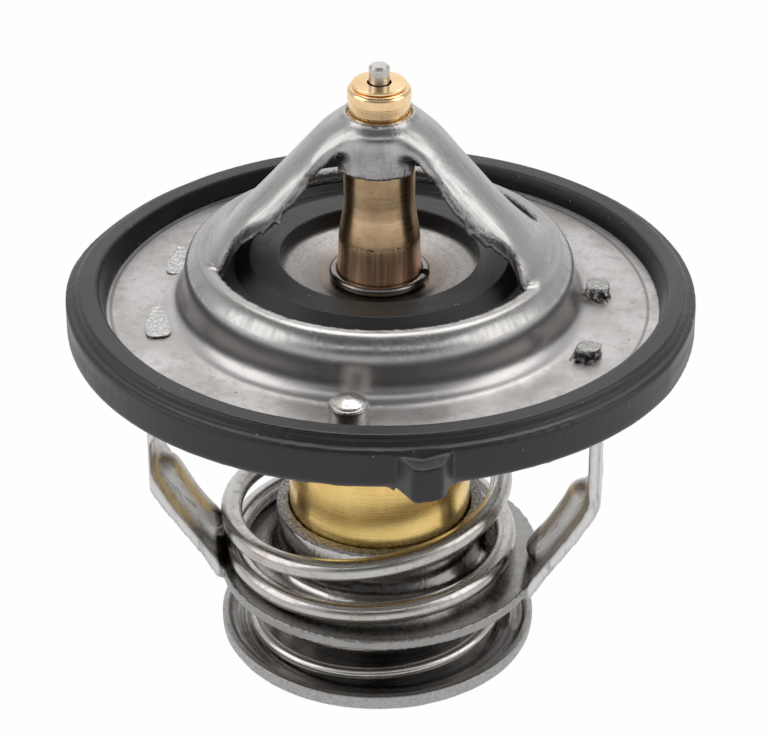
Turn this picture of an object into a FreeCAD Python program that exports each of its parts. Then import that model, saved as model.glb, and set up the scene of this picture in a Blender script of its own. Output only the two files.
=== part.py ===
import FreeCAD, Part
import math
import os
import Sketcher

# Engine thermostat with a bypass valve, millimetres. Heights are measured from the flange's top face.
# Every sub-part is then placed so that the origin is the centre of the rubber ring's flat crown, which the
# housing's cover presses on. +Z points out of the bridge and the two bridge arms lie along X.

Vector = FreeCAD.Vector
doc = FreeCAD.newDocument("engine_thermostat")
sheet = doc.addObject("Spreadsheet::Sheet", "Sizes")

SIZES = {
    # Stamped flange, dome and bridge
    "sheet": 1.2,
    "flange_radius": 30.2,
    "dome_radius": 19.8,
    "dome_height": 6.25,
    "dome_shoulder": 2.4,
    "dome_foot": 2.1,
    "window_radius": 16.9,
    "arm_half_width": 4.2,
    "arm_arch": 2.0,
    "arm_least_arch": 0.033,
    "arm_slope": 49.5,
    "arm_foot_bend": 3.0,
    "crest_height": 21.9,
    "crest_bend": 8.0,
    "neck_radius": 3.64,
    "neck_bore": 3.22,
    "neck_top": 21.3,
    "neck_step": 19.2,
    "neck_lip": 0.3,
    "neck_shoulder": 20.3,
    "neck_shoulder_round": 1.0,
    "skirt_radius": 4.9,
    "skirt_bottom": 15.9,
    "tongue_half_width": 3.7,
    "tongue_cut_radius": 2.9,
    # Rubber ring round the flange
    "gasket_wall": 1.8,
    "gasket_grip": 2.3,
    "gasket_crown": 3.0,
    "gasket_crown_width": 2.1,
    "gasket_lip_slope": 0.8,
    "gasket_lip_round": 0.35,
    "gasket_crown_round": 0.25,
    "gasket_shoulder": 2.0,
    "gasket_step": 0.2,
    "gasket_below": 1.4,
    "gasket_edge_round": 0.4,
    "gasket_draft": 0.3,
    "gasket_taper": 0.9,
    "tab_angle": 14.0,
    "tab_reach": 2.25,
    "tab_root": 3.2,
    "tab_tip": 1.4,
    "tab_round": 0.8,
    "tab_sink": 1.0,
    "tab_inset": 0.4,
    # Adjusting cap and piston
    "cap_top": 24.25,
    "cap_rim_radius": 2.7,
    "cap_rim": 0.3,
    "cap_waist_radius": 2.45,
    "cap_waist": 0.16,
    "cap_bulge_radius": 3.15,
    "cap_bulge": 1.2,
    "cap_crease": 0.06,
    "cap_taper": 0.1,
    "cap_edge_round": 0.1,
    "cap_bulge_round": 0.5,
    "cap_collar_radius": 3.5,
    "cap_bottom": 17.0,
    "cap_hole": 1.22,
    "piston_tip_radius": 1.02,
    "piston_radius": 1.7,
    "piston_tip": 26.1,
    "piston_shoulder": 22.3,
    "piston_bottom": -18.0,
    "piston_chamfer": 0.25,
    # Guide stem and snap ring
    "stem_top": 16.3,
    "stem_radius": 3.55,
    "stem_flare_top": 11.2,
    "stem_flare_bottom": 7.6,
    "stem_flare_round": 8.0,
    "stem_waist_radius": 4.1,
    "stem_base_radius": 4.23,
    "stem_edge_round": 0.3,
    "stem_groove": 0.12,
    "snap_wire": 0.48,
    "snap_gap_angle": 14.0,
    # Valve plate and its rubber seal
    "plate_sheet": 1.0,
    "plate_bend": 2.0,
    "plate_hub_top": 2.9,
    "plate_hub_dish": 0.12,
    "plate_hub_radius": 5.6,
    "plate_rim_top": 3.8,
    "plate_rim_inner": 9.4,
    "plate_radius": 17.2,
    "seal_inner": 10.0,
    "seal_top": 5.4,
    "seal_land": 13.1,
    "seal_bevel": 14.6,
    "seal_valley": 4.3,
    "seal_rise": 16.2,
    "seal_lip_inner": 16.6,
    "seal_radius": 17.9,
    "seal_edge_round": 1.0,
    "seal_inner_round": 0.2,
    "seal_land_round": 0.3,
    "seal_bevel_round": 0.4,
    "seal_valley_round": 0.2,
    "seal_bottom_round": 0.3,
    "seal_bottom": 2.2,
    "seal_lip": 16.4,
    # Wax capsule
    "cup_radius": 9.5,
    "cup_wall": 0.8,
    "cup_bottom": -31.4,
    "cup_crimp_top": 0.2,
    "cup_crimp_bore": 5.6,
    "cup_crimp_round": 0.7,
    "cup_bottom_round": 1.2,
    "cup_inner_round": 0.4,
    "guide_flange": 2.6,
    "boot_flange": 1.2,
    "boot_radius": 3.2,
    "boot_shoulder_round": 0.6,
    "boot_tip_round": 0.8,
    # Main spring
    "spring_wire": 1.0,
    "spring_radius": 14.3,
    "spring_aside": 0.9,
    "spring_start": 8.0,
    "spring_end_rise": 0.08,
    "spring_close_rise": 2.1,
    "spring_low_rise": 1.5,
    "spring_front_rise": 3.0,
    "spring_steep_rise": 7.9,
    "spring_middle_rise": 6.0,
    # Lower frame
    "frame_sheet": 1.2,
    "frame_ring_top": -30.5,
    "frame_ring_radius": 17.0,
    "frame_foot_inset": 0.4,
    "collar_radius": 10.9,
    "collar_top": -24.0,
    "collar_fillet": 2.0,
    "frame_arm_reach": 23.3,
    "frame_arm_bend": -19.7,
    "frame_arm_half_width": 3.6,
    "frame_arm_aside": 2.4,
    "frame_bend_radius": 4.0,
    "frame_top_half_width": 8.2,
    "frame_top_depth": 4.5,
    "frame_head_round": 1.5,
    "bead_radius": 1.1,
    "bead_wall": 0.85,
    "bead_from": 0.12,
    "bead_to": 0.68,
    "tab_width": 2.8,
    "tab_spread": 6.3,
    "tab_height": 0.7,
    # Bypass valve
    "rod_radius": 2.0,
    "rod_bottom": -39.2,
    "rod_chamfer": 0.4,
    "disc_sheet": 1.0,
    "disc_radius": 16.5,
    "disc_bottom": -39.75,
    "disc_lip_top": -37.85,
    "disc_edge_round": 0.9,
    "disc_bend": 1.2,
    "disc_lip_bend": 0.6,
    "disc_hub_radius": 5.5,
    "disc_cone_radius": 8.0,
    "disc_hub_rise": 2.2,
    "clip_radius": 4.2,
    "clip_thickness": 0.7,
    "bypass_wire": 0.65,
    "bypass_foot_radius": 13.5,
    "bypass_head_radius": 7.6,
    # Jiggle pin
    "jiggle_place": 23.6,
    "jiggle_head_radius": 1.95,
    "jiggle_head": 2.6,
    "jiggle_round": 0.5,
    "jiggle_shank": 1.0,
    "jiggle_hole": 1.35,
    "jiggle_travel": 1.2,
    "jiggle_weight_radius": 2.3,
    "jiggle_weight": 3.2,
    "jiggle_weight_round": 0.4,
    "jiggle_weight_tip_round": 0.9,
    # Clearances
    "running_gap": 0.08,
    "seat_gap": 0.06,
    "slip_gap": 0.05,
    "collar_gap": 0.1,
    "weight_gap": 0.1,
}

# Cross-sections of an arm from the neck out: shares of the window radius, the half width and the arch
ARM_SECTIONS = {
    "crown": (0.0, 1.0, 1.0),
    "neck": (0.2, 1.0, 1.0),
    "upper_arm": (0.34, 1.02, 1.1),
    "above_belly": (0.45, 1.05, 1.35),
    "belly": (0.55, 1.09, 1.55),
    "below_belly": (0.64, 1.05, 1.4),
    "above_waist": (0.72, 0.98, 0.95),
    "waist": (0.78, 1.0, 0.75),
    "below_waist": (0.84, 1.2, 0.8),
}

# Beyond the waist the arm's edges run into the ring: shares of the window radius and the half width
FAN_SECTIONS = {
    "window_corner": (0.9, 1.66),
    "on_ring": (0.96, 1.62),
    "past_window": (1.01, 1.5),
}
ARM_END = (1.05, 1.3)


class Size:
    """A length or angle with its value and the formula that gives it from the sheet."""

    def __init__(self, value, formula):
        self.value = value
        self.formula = formula

    def joined(self, other, sign, value):
        other = as_size(other)
        return Size(value(self.value, other.value), "(%s %s %s)" % (self.formula, sign, other.formula))

    def __add__(self, other):
        return self.joined(other, "+", lambda a, b: a + b)

    def __radd__(self, other):
        return as_size(other) + self

    def __sub__(self, other):
        return self.joined(other, "-", lambda a, b: a - b)

    def __rsub__(self, other):
        return as_size(other) - self

    def __mul__(self, other):
        return self.joined(other, "*", lambda a, b: a * b)

    def __rmul__(self, other):
        return as_size(other) * self

    def __truediv__(self, other):
        return self.joined(other, "/", lambda a, b: a / b)

    def __neg__(self):
        return Size(-self.value, "(-%s)" % self.formula)


def as_size(number):
    return number if isinstance(number, Size) else Size(float(number), "%g" % number)


class Named:
    """Holds one Size for each cell of the sheet, under the cell's alias."""


def fill_sheet():
    named = Named()
    for row, (alias, value) in enumerate(SIZES.items(), start=1):
        sheet.set("A%d" % row, alias)
        sheet.set("B%d" % row, str(value))
        sheet.setAlias("B%d" % row, alias)
        setattr(named, alias, Size(value, "Sizes." + alias))
    doc.recompute()
    return named


d = fill_sheet()


def bind(thing, prop, size):
    setattr(thing, prop, size.value)
    thing.setExpression(prop, size.formula)


# Sketches

def plane_of(body, role):
    return next(feature for feature in body.Origin.OriginFeatures if feature.Role == role)


def new_sketch(body, name, role="XZ_Plane", lift=None):
    sketch = body.newObject("Sketcher::SketchObject", name)
    sketch.AttachmentSupport = [(plane_of(body, role), "")]
    sketch.MapMode = "FlatFace"
    if lift is not None:
        sketch.setExpression("AttachmentOffset.Base.z", lift.formula)
    return sketch


def fixed_point(geometry, end, across, up):
    """Two constraints that hold a point, each with the formula of its size."""
    return [(Sketcher.Constraint("DistanceX", -1, 1, geometry, end, across.value), across.formula),
            (Sketcher.Constraint("DistanceY", -1, 1, geometry, end, up.value), up.formula)]


def draw_outline(sketch, corners):
    """A closed outline through corners (across, up, ...), each bound to the sheet."""
    sized = [(as_size(corner[0]), as_size(corner[1])) for corner in corners]
    points = [Vector(across.value, up.value, 0) for across, up in sized]
    held = []
    for i, point in enumerate(points):
        line = sketch.addGeometry(Part.LineSegment(point, points[(i + 1) % len(points)]))
        held.append((Sketcher.Constraint("Coincident", line, 2, (i + 1) % len(points), 1), None))
        held += fixed_point(line, 1, *sized[i])
    sketch.addConstraint([constraint for constraint, formula in held])
    for index, (constraint, formula) in enumerate(held):
        if formula is not None:
            sketch.setExpression("Constraints[%d]" % index, formula)


# Bodies

def new_body(label):
    body = doc.addObject("PartDesign::Body", label)
    body.Label = label
    return body


def turned_edge(edge, across, up):
    """The circle that a corner of a turned outline leaves."""
    curve = edge.Curve
    if not isinstance(curve, Part.Circle):
        return False
    return abs(curve.Radius - across) < CLOSE and abs(curve.Center.z - up) < CLOSE


def straight_edge(first, second):
    """Tells the straight edge that a corner leaves, seen along the padding direction."""
    def matches(edge, across, up):
        return all(abs(getattr(vertex.Point, first) - across) < CLOSE
                   and abs(getattr(vertex.Point, second) - up) < CLOSE for vertex in edge.Vertexes)
    return matches


CLOSE = 1e-4
pad_edge = {"XY_Plane": straight_edge("x", "y"), "XZ_Plane": straight_edge("x", "z"),
            "YZ_Plane": straight_edge("y", "z")}


def round_corners(body, feature, corners, matches):
    """Fillets the corners that state a radius, one feature for each radius."""
    groups = {}
    for corner in corners:
        if len(corner) == 3:
            size = as_size(corner[2])
            groups.setdefault(size.formula, (size, []))[1].append(corner)
    for size, rounded in groups.values():
        doc.recompute()
        names = []
        for corner in rounded:
            across, up = as_size(corner[0]).value, as_size(corner[1]).value
            names += ["Edge%d" % (i + 1) for i, edge in enumerate(feature.Shape.Edges)
                      if matches(edge, across, up)]
        fillet = body.newObject("PartDesign::Fillet", feature.Name + "Round")
        fillet.Base = (feature, names)
        bind(fillet, "Radius", size)
        feature = fillet
    return feature


def revolve(body, corners, name="Profile"):
    """A turned or drawn form: the outline (radius, height) turned once about Z."""
    sketch = new_sketch(body, body.Name + name)
    draw_outline(sketch, corners)
    turn = body.newObject("PartDesign::Revolution", body.Name + name + "Turn")
    turn.Profile = sketch
    turn.ReferenceAxis = (sketch, ["V_Axis"])
    turn.Angle = 360
    return round_corners(body, turn, corners, turned_edge)


def pad(body, corners, name, role, lift, length, midplane=False):
    sketch = new_sketch(body, body.Name + name, role, lift)
    draw_outline(sketch, corners)
    feature = body.newObject("PartDesign::Pad", body.Name + name + "Pad")
    feature.Profile = sketch
    bind(feature, "Length", length)
    feature.SideType = "Symmetric" if midplane else "One side"
    return round_corners(body, feature, corners, pad_edge[role])


def turned(label, corners):
    body = new_body(label)
    revolve(body, corners)
    return body


def part_feature(label, shape):
    thing = doc.addObject("Part::Feature", label)
    thing.Label = label
    thing.Shape = shape
    thing.Placement = FreeCAD.Placement()
    return thing


def boolean(kind, label, first, others):
    """A union or a cut of finished bodies and tools, kept as one object."""
    if kind == "Fuse":
        result = doc.addObject("Part::MultiFuse", label)
        result.Shapes = [first] + others
        result.Refine = True
    else:
        tool = others[0]
        if len(others) > 1:
            tool = doc.addObject("Part::MultiFuse", label + "_tools")
            tool.Shapes = others
        result = doc.addObject("Part::Cut", label)
        result.Base = first
        result.Tool = tool
        result.Refine = True
    result.Label = label
    return result


def cylinder(label, radius, height, place):
    thing = doc.addObject("Part::Cylinder", label)
    bind(thing, "Radius", radius)
    bind(thing, "Height", height)
    for axis, size in zip("xyz", place):
        thing.setExpression("Placement.Base." + axis, as_size(size).formula)
    return thing


def box(label, size, place):
    thing = doc.addObject("Part::Box", label)
    for prop, value in zip(("Length", "Width", "Height"), size):
        bind(thing, prop, as_size(value))
    for axis, value in zip("xyz", place):
        thing.setExpression("Placement.Base." + axis, as_size(value).formula)
    return thing


# Flange, dome and bridge: one drawn and pierced sheet

def crest_line(x):
    """Height and slope of the bridge's crest line at a distance from the axis."""
    slope = math.tan(math.radians(SIZES["arm_slope"]))
    angle = math.radians(SIZES["arm_slope"])
    bend, foot = SIZES["crest_bend"], SIZES["arm_foot_bend"]
    top, ring = SIZES["crest_height"], SIZES["dome_height"]
    bend_end = bend * math.sin(angle)
    straight_top = top - bend * (1 - math.cos(angle))
    corner = bend_end + (straight_top - ring) / slope
    foot_reach = foot * math.tan(angle / 2)
    if x < bend_end:
        return top - bend + math.sqrt(bend ** 2 - x ** 2), x / math.sqrt(bend ** 2 - x ** 2)
    if x < corner - foot_reach * math.cos(angle):
        return straight_top - slope * (x - bend_end), slope
    if x < corner + foot_reach:
        away = corner + foot_reach - x
        return ring + foot - math.sqrt(foot ** 2 - away ** 2), away / math.sqrt(foot ** 2 - away ** 2)
    return ring, 0.0


def crest(x):
    return crest_line(x)[0]


def crest_slope(x):
    return crest_line(x)[1]


def arch_section(x, half_width, arch, height):
    """One cross-section of the strap: an arched band, upright in the plane at x."""
    depth = SIZES["sheet"] * math.sqrt(1 + crest_slope(abs(x)) ** 2)
    upper = Part.Arc(Vector(x, -half_width, height - arch), Vector(x, 0, height),
                     Vector(x, half_width, height - arch)).toShape()
    lower = Part.Arc(Vector(x, half_width, height - arch - depth), Vector(x, 0, height - depth),
                     Vector(x, -half_width, height - arch - depth)).toShape()
    sides = [Part.makeLine(upper.Vertexes[-1].Point, lower.Vertexes[0].Point),
             Part.makeLine(lower.Vertexes[-1].Point, upper.Vertexes[0].Point)]
    return Part.Wire([upper, sides[0], lower, sides[1]])


def ring_top(radius):
    """Height of the drawn ring's upper face at a radius."""
    shoulder = SIZES["dome_shoulder"]
    past = max(radius - SIZES["dome_radius"] + shoulder, 0.0)
    return SIZES["dome_height"] - shoulder + math.sqrt(max(shoulder ** 2 - past ** 2, 0.0))


def fan_section(x, half_width, height):
    """A section whose edges lie on the ring."""
    arch = max(height - ring_top(math.hypot(x, half_width)), SIZES["arm_least_arch"])
    return x, half_width, arch, height


def bridge_strap():
    """Both arms as one loft over the top: arched below the neck, then fanned out into the drawn ring."""
    ring, arm, arch = SIZES["window_radius"], SIZES["arm_half_width"], SIZES["arm_arch"]
    half = [(share * ring, arm * wide, arch * high, crest(share * ring))
            for share, wide, high in ARM_SECTIONS.values()]
    half += [fan_section(share * ring, arm * wide, crest(share * ring))
             for share, wide in FAN_SECTIONS.values()]
    end = ARM_END[0] * ring
    half.append(fan_section(end, ARM_END[1] * arm, min(crest(end), ring_top(end))))
    stations = [(-x, *rest) for x, *rest in reversed(half[1:])] + half
    return Part.makeLoft([arch_section(*station) for station in stations], True, False)


def make_flange_bridge():
    outer, inner = d.dome_radius, d.dome_radius - d.sheet
    pressed = turned("pressed_flange", [
        (d.window_radius, d.dome_height - d.sheet),
        (inner, d.dome_height - d.sheet, d.dome_shoulder - d.sheet),
        (inner, -d.sheet, d.dome_foot + d.sheet),
        (d.flange_radius, -d.sheet),
        (d.flange_radius, 0),
        (outer, 0, d.dome_foot),
        (outer, d.dome_height, d.dome_shoulder),
        (d.window_radius, d.dome_height)])
    strap = part_feature("bridge_arms", bridge_strap())
    well = cylinder("neck_well", d.skirt_radius - d.sheet, d.crest_height, (0, 0, d.skirt_bottom - d.sheet))
    below = cylinder("room_below_ring", d.dome_radius, d.dome_height, (0, 0, -d.sheet))
    open_strap = boolean("Cut", "open_arms", strap, [well, below])
    drawn_neck = turned("drawn_neck", [
        (d.neck_bore, d.neck_top),
        (d.neck_bore, d.neck_step),
        (d.skirt_radius - d.sheet, d.neck_step),
        (d.skirt_radius - d.sheet, d.skirt_bottom),
        (d.skirt_radius, d.skirt_bottom),
        (d.skirt_radius, d.neck_shoulder, d.neck_shoulder_round),
        (d.neck_radius, d.neck_top - d.neck_lip),
        (d.neck_radius, d.neck_top)])
    side_cuts = []
    for side in (1, -1):
        aside = side * (d.tongue_half_width + d.tongue_cut_radius)
        cut = cylinder("tongue_cut_%d" % (side > 0), d.tongue_cut_radius, 4 * d.skirt_radius,
                       (aside, 2 * d.skirt_radius, d.skirt_bottom))
        cut.Placement.Rotation = FreeCAD.Rotation(Vector(1, 0, 0), 90)
        side_cuts.append(cut)
    neck = boolean("Cut", "bridge_neck", drawn_neck, side_cuts)
    whole = boolean("Fuse", "bridged_flange", pressed, [open_strap, neck])
    cuts = [cylinder("jiggle_hole_cut", d.jiggle_hole, 3 * d.sheet, (0, -d.jiggle_place, -2 * d.sheet))]
    slot_depth = d.frame_sheet + 2 * d.slip_gap
    slot_width = d.tab_width + 2 * d.slip_gap
    for side in (1, -1):
        near = d.frame_arm_reach - d.frame_sheet if side > 0 else -d.frame_arm_reach
        for half in (1, -1):
            middle = half * d.tab_spread - d.frame_arm_aside
            cuts.append(box("tab_slot_%d_%d" % (side > 0, half > 0), (slot_depth, slot_width, 3 * d.sheet),
                            (near - d.slip_gap, middle - slot_width / 2, -2 * d.sheet)))
    return boolean("Cut", "flange_bridge", whole, cuts)


def make_gasket():
    below = -d.sheet - d.gasket_below
    outer, inner = d.flange_radius + d.gasket_wall, d.flange_radius - d.gasket_grip
    lip = inner + d.gasket_lip_slope
    crown = lip + d.gasket_crown_width
    body = turned("flange_gasket", [
        (inner, 0),
        (lip, d.gasket_crown, d.gasket_lip_round),
        (crown, d.gasket_crown, d.gasket_crown_round),
        (crown + d.gasket_step, d.gasket_shoulder),
        (outer, d.gasket_shoulder, d.gasket_edge_round),
        (outer, below + d.gasket_taper, d.gasket_edge_round),
        (crown, below, d.gasket_edge_round),
        (inner + d.gasket_draft, below),
        (inner, -d.sheet),
        (d.flange_radius, -d.sheet),
        (d.flange_radius, 0)])
    root = outer - d.tab_sink
    tip = outer + d.tab_reach
    pad(body, [(-d.tab_root, -root), (-d.tab_tip, -tip, d.tab_round), (d.tab_tip, -tip, d.tab_round),
               (d.tab_root, -root)],
        "Tab", "XY_Plane", below - d.tab_inset, d.gasket_shoulder - below)
    body.setExpression("Placement.Rotation.Angle", "%s * 1 deg" % d.tab_angle.formula)
    body.Placement.Rotation.Axis = Vector(0, 0, 1)
    return body


def make_cap():
    rim_bottom = d.cap_top - d.cap_rim
    bulge_top = rim_bottom - d.cap_waist
    bulge_bottom = bulge_top - d.cap_bulge
    shank = d.neck_bore - d.slip_gap
    below_crease = d.cap_bulge_radius - d.cap_crease
    return turned("adjusting_cap", [
        (d.cap_hole, d.cap_top),
        (d.cap_rim_radius, d.cap_top, d.cap_edge_round),
        (d.cap_rim_radius, rim_bottom, d.cap_edge_round),
        (d.cap_waist_radius, rim_bottom - d.cap_waist / 2),
        (d.cap_bulge_radius, bulge_top, d.cap_bulge_round),
        (d.cap_bulge_radius, bulge_bottom),
        (below_crease, bulge_bottom - d.cap_crease),
        (below_crease - d.cap_taper, d.neck_top - d.cap_waist),
        (shank, d.neck_top - 2 * d.cap_waist),
        (shank, d.neck_step),
        (d.cap_collar_radius, d.neck_step),
        (d.cap_collar_radius, d.cap_bottom),
        (d.piston_radius + d.slip_gap, d.cap_bottom),
        (d.piston_radius + d.slip_gap, d.piston_shoulder),
        (d.cap_hole, d.piston_shoulder)])


def make_piston():
    chamfer = d.piston_chamfer
    return turned("piston", [
        (0, d.piston_tip),
        (d.piston_tip_radius - chamfer, d.piston_tip),
        (d.piston_tip_radius, d.piston_tip - chamfer),
        (d.piston_tip_radius, d.piston_shoulder),
        (d.piston_radius, d.piston_shoulder),
        (d.piston_radius, d.piston_bottom + 2 * chamfer),
        (d.piston_radius - 2 * chamfer, d.piston_bottom),
        (0, d.piston_bottom)])


# Guide stem with the snap ring in its groove

def guide_top():
    """The underside of the valve plate, which rests on the capsule's crimped rim."""
    return d.plate_hub_top - d.plate_sheet


def snap_centre():
    return d.plate_hub_top + d.snap_wire


def make_stem():
    groove = d.stem_base_radius - d.stem_groove
    snap = snap_centre()
    half = d.snap_wire + d.slip_gap
    neck = d.cup_crimp_bore - d.slip_gap
    return turned("guide_stem", [
        (d.piston_radius + d.running_gap, d.stem_top),
        (d.stem_radius, d.stem_top, d.stem_edge_round),
        (d.stem_radius, d.stem_flare_top, d.stem_flare_round),
        (d.stem_waist_radius, d.stem_flare_bottom, d.stem_flare_round),
        (d.stem_base_radius, snap + half),
        (groove, snap + half),
        (groove, snap - half),
        (d.stem_base_radius, snap - half),
        (d.stem_base_radius, guide_top()),
        (neck, guide_top()),
        (neck, d.cup_crimp_top - d.cup_wall),
        (d.cup_radius - d.cup_wall, d.cup_crimp_top - d.cup_wall),
        (d.cup_radius - d.cup_wall, d.cup_crimp_top - d.cup_wall - d.guide_flange),
        (d.piston_radius + d.running_gap, d.cup_crimp_top - d.cup_wall - d.guide_flange)])


def make_snap_ring():
    ring = doc.addObject("Part::Torus", "snap_ring")
    ring.Label = "snap_ring"
    bind(ring, "Radius1", d.stem_base_radius - d.stem_groove + d.slip_gap / 2 + d.snap_wire)
    bind(ring, "Radius2", d.snap_wire)
    ring.setExpression("Angle3", "360 - %s" % d.snap_gap_angle.formula)
    ring.setExpression("Placement.Base.z", (snap_centre() - d.gasket_crown).formula)
    return ring


def make_plate():
    top, under = d.plate_rim_top, d.plate_rim_top - d.plate_sheet
    bore = d.stem_base_radius + d.slip_gap
    return turned("valve_plate", [
        (bore, d.plate_hub_top),
        (d.plate_hub_radius, d.plate_hub_top - d.plate_hub_dish, d.plate_bend),
        (d.plate_rim_inner, top, d.plate_bend),
        (d.plate_radius, top),
        (d.plate_radius, under),
        (d.plate_rim_inner, under, d.plate_bend),
        (d.plate_hub_radius, guide_top(), d.plate_bend),
        (bore, guide_top())])


def make_seal():
    land = d.dome_height - d.sheet - d.seat_gap
    return turned("valve_seal", [
        (d.seal_inner, d.plate_rim_top),
        (d.seal_inner, d.seal_top, d.seal_inner_round),
        (d.seal_land, d.seal_top, d.seal_land_round),
        (d.seal_bevel, d.seal_valley, d.seal_bevel_round),
        (d.seal_rise, d.seal_valley, d.seal_valley_round),
        (d.seal_lip_inner, land),
        (d.seal_radius, land, d.seal_edge_round),
        (d.seal_radius, d.seal_bottom, d.seal_bottom_round),
        (d.seal_lip, d.seal_bottom),
        (d.seal_lip, d.plate_rim_top - d.plate_sheet),
        (d.plate_radius, d.plate_rim_top - d.plate_sheet),
        (d.plate_radius, d.plate_rim_top)])


# Wax capsule: cup, wax, boot and the guide's flange clamped under the crimped rim

def make_cup():
    inner = d.cup_radius - d.cup_wall
    return turned("wax_cup", [
        (d.cup_crimp_bore, d.cup_crimp_top),
        (d.cup_radius, d.cup_crimp_top, d.cup_crimp_round),
        (d.cup_radius, d.cup_bottom, d.cup_bottom_round),
        (0, d.cup_bottom),
        (0, d.cup_bottom + d.cup_wall),
        (inner, d.cup_bottom + d.cup_wall, d.cup_inner_round),
        (inner, d.cup_crimp_top - d.cup_wall),
        (d.cup_crimp_bore, d.cup_crimp_top - d.cup_wall)])


def guide_bottom():
    return d.cup_crimp_top - d.cup_wall - d.guide_flange


def make_boot():
    tip = d.piston_bottom - d.boot_radius + d.piston_radius
    return turned("rubber_boot", [
        (d.piston_radius + d.running_gap, guide_bottom()),
        (d.cup_radius - d.cup_wall, guide_bottom()),
        (d.cup_radius - d.cup_wall, guide_bottom() - d.boot_flange),
        (d.boot_radius, guide_bottom() - d.boot_flange, d.boot_shoulder_round),
        (d.boot_radius, tip, d.boot_tip_round),
        (0, tip),
        (0, d.piston_bottom - d.running_gap),
        (d.piston_radius + d.running_gap, d.piston_bottom - d.running_gap)])


def make_wax():
    tip = d.piston_bottom - d.boot_radius + d.piston_radius
    return turned("wax_fill", [
        (d.boot_radius, guide_bottom() - d.boot_flange, d.boot_shoulder_round),
        (d.cup_radius - d.cup_wall, guide_bottom() - d.boot_flange),
        (d.cup_radius - d.cup_wall, d.cup_bottom + d.cup_wall, d.cup_inner_round),
        (0, d.cup_bottom + d.cup_wall),
        (0, tip),
        (d.boot_radius, tip, d.boot_tip_round)])


# Springs: each half turn is one arc, level where two arcs meet, so the wire runs on without a kink

def spring(label, wire, start_angle, levels, aside=0.0):
    """Wire through points (radius, height), one every half turn from the start angle."""
    def place(step):
        angle = math.radians(start_angle + 180 * step)
        radius, height = levels[step]
        return Vector(radius * math.cos(angle) - aside, radius * math.sin(angle), height)

    arcs = []
    for step in range(len(levels) - 1):
        begin, end = place(step), place(step + 1)
        angle = math.radians(start_angle + 180 * step + 90)
        outward = Vector(math.cos(angle), math.sin(angle), 0)
        middle = (begin + end) * 0.5 + outward * ((end - begin).Length / 2)
        arcs.append(Part.Arc(begin, middle, end).toShape())
    angle = math.radians(start_angle)
    section = Part.makeCircle(wire, place(0), Vector(-math.sin(angle), math.cos(angle), 0))
    return part_feature(label, Part.Wire(arcs).makePipeShell([Part.Wire([section])], True, False))


def make_main_spring():
    """The closed ends lie on the ring and under the plate; the pitch widens above the two front coils."""
    wire = SIZES["spring_wire"]
    low = SIZES["frame_ring_top"] + wire
    high = SIZES["plate_rim_top"] - SIZES["plate_sheet"] - wire
    end, close = SIZES["spring_end_rise"], SIZES["spring_close_rise"]
    heights = [low]
    for rise in (end, close, SIZES["spring_low_rise"], SIZES["spring_front_rise"],
                 SIZES["spring_steep_rise"], SIZES["spring_middle_rise"]):
        heights.append(heights[-1] + rise)
    last_open = high - end - close
    heights += [(heights[-1] + last_open) / 2, last_open, high - end, high]
    radius = SIZES["spring_radius"]
    return spring("main_spring", wire, SIZES["spring_start"], [(radius, height) for height in heights],
                  SIZES["spring_aside"])


def make_bypass_spring():
    wire = SIZES["bypass_wire"]
    low = SIZES["disc_bottom"] + SIZES["disc_sheet"] + wire
    high = SIZES["cup_bottom"] - wire
    foot, head = SIZES["bypass_foot_radius"], SIZES["bypass_head_radius"]
    halves = 6
    levels = [(foot, low)]
    for step in range(halves + 1):
        share = step / halves
        levels.append((foot + (head - foot) * share, low + (high - low) * share))
    levels.append((head, high))
    return spring("bypass_spring", wire, 0.0, levels)


# Lower frame: ring with a drawn collar, two bent arms with ribs and tabs

def arm_profile(side):
    """Edge view of one arm in the XZ plane, from the ring to the underside of the flange."""
    foot = SIZES["frame_ring_radius"] - SIZES["frame_foot_inset"]
    along = Vector(SIZES["frame_arm_reach"] - foot, 0,
                   SIZES["frame_arm_bend"] - SIZES["frame_ring_top"] + SIZES["frame_sheet"])
    lean = math.atan2(along.x, along.z)
    arm_foot = d.frame_ring_radius - d.frame_foot_inset
    inner_bend = d.frame_arm_bend + d.frame_sheet * math.tan(lean / 2)
    foot_inner = arm_foot + d.frame_sheet * (math.tan(lean) - 1 / math.cos(lean))
    return [
        (side * (arm_foot - d.frame_sheet), d.frame_ring_top - d.frame_sheet),
        (side * arm_foot, d.frame_ring_top - d.frame_sheet),
        (side * d.frame_arm_reach, d.frame_arm_bend, d.frame_bend_radius),
        (side * d.frame_arm_reach, -d.sheet),
        (side * (d.frame_arm_reach - d.frame_sheet), -d.sheet),
        (side * (d.frame_arm_reach - d.frame_sheet), inner_bend, d.frame_bend_radius - d.frame_sheet),
        (side * foot_inner, d.frame_ring_top),
        (side * (arm_foot - d.frame_sheet), d.frame_ring_top)]


def bead(label, side, radius):
    """A rod with round ends along the inner face of an arm's slanted run."""
    foot = SIZES["frame_ring_radius"] - SIZES["frame_foot_inset"]
    low = Vector(side * foot, -SIZES["frame_arm_aside"], SIZES["frame_ring_top"] - SIZES["frame_sheet"])
    high = Vector(side * SIZES["frame_arm_reach"], -SIZES["frame_arm_aside"], SIZES["frame_arm_bend"])
    along = high - low
    inward = Vector(-side * along.z, 0, abs(along.x)).normalize() * SIZES["frame_sheet"]
    begin = low + along * (1 - SIZES["bead_to"]) + inward
    end = low + along * (1 - SIZES["bead_from"]) + inward
    rod = Part.makeCylinder(radius, (end - begin).Length, begin, end - begin)
    return part_feature(label, rod.fuse([Part.makeSphere(radius, begin), Part.makeSphere(radius, end)]))


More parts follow.
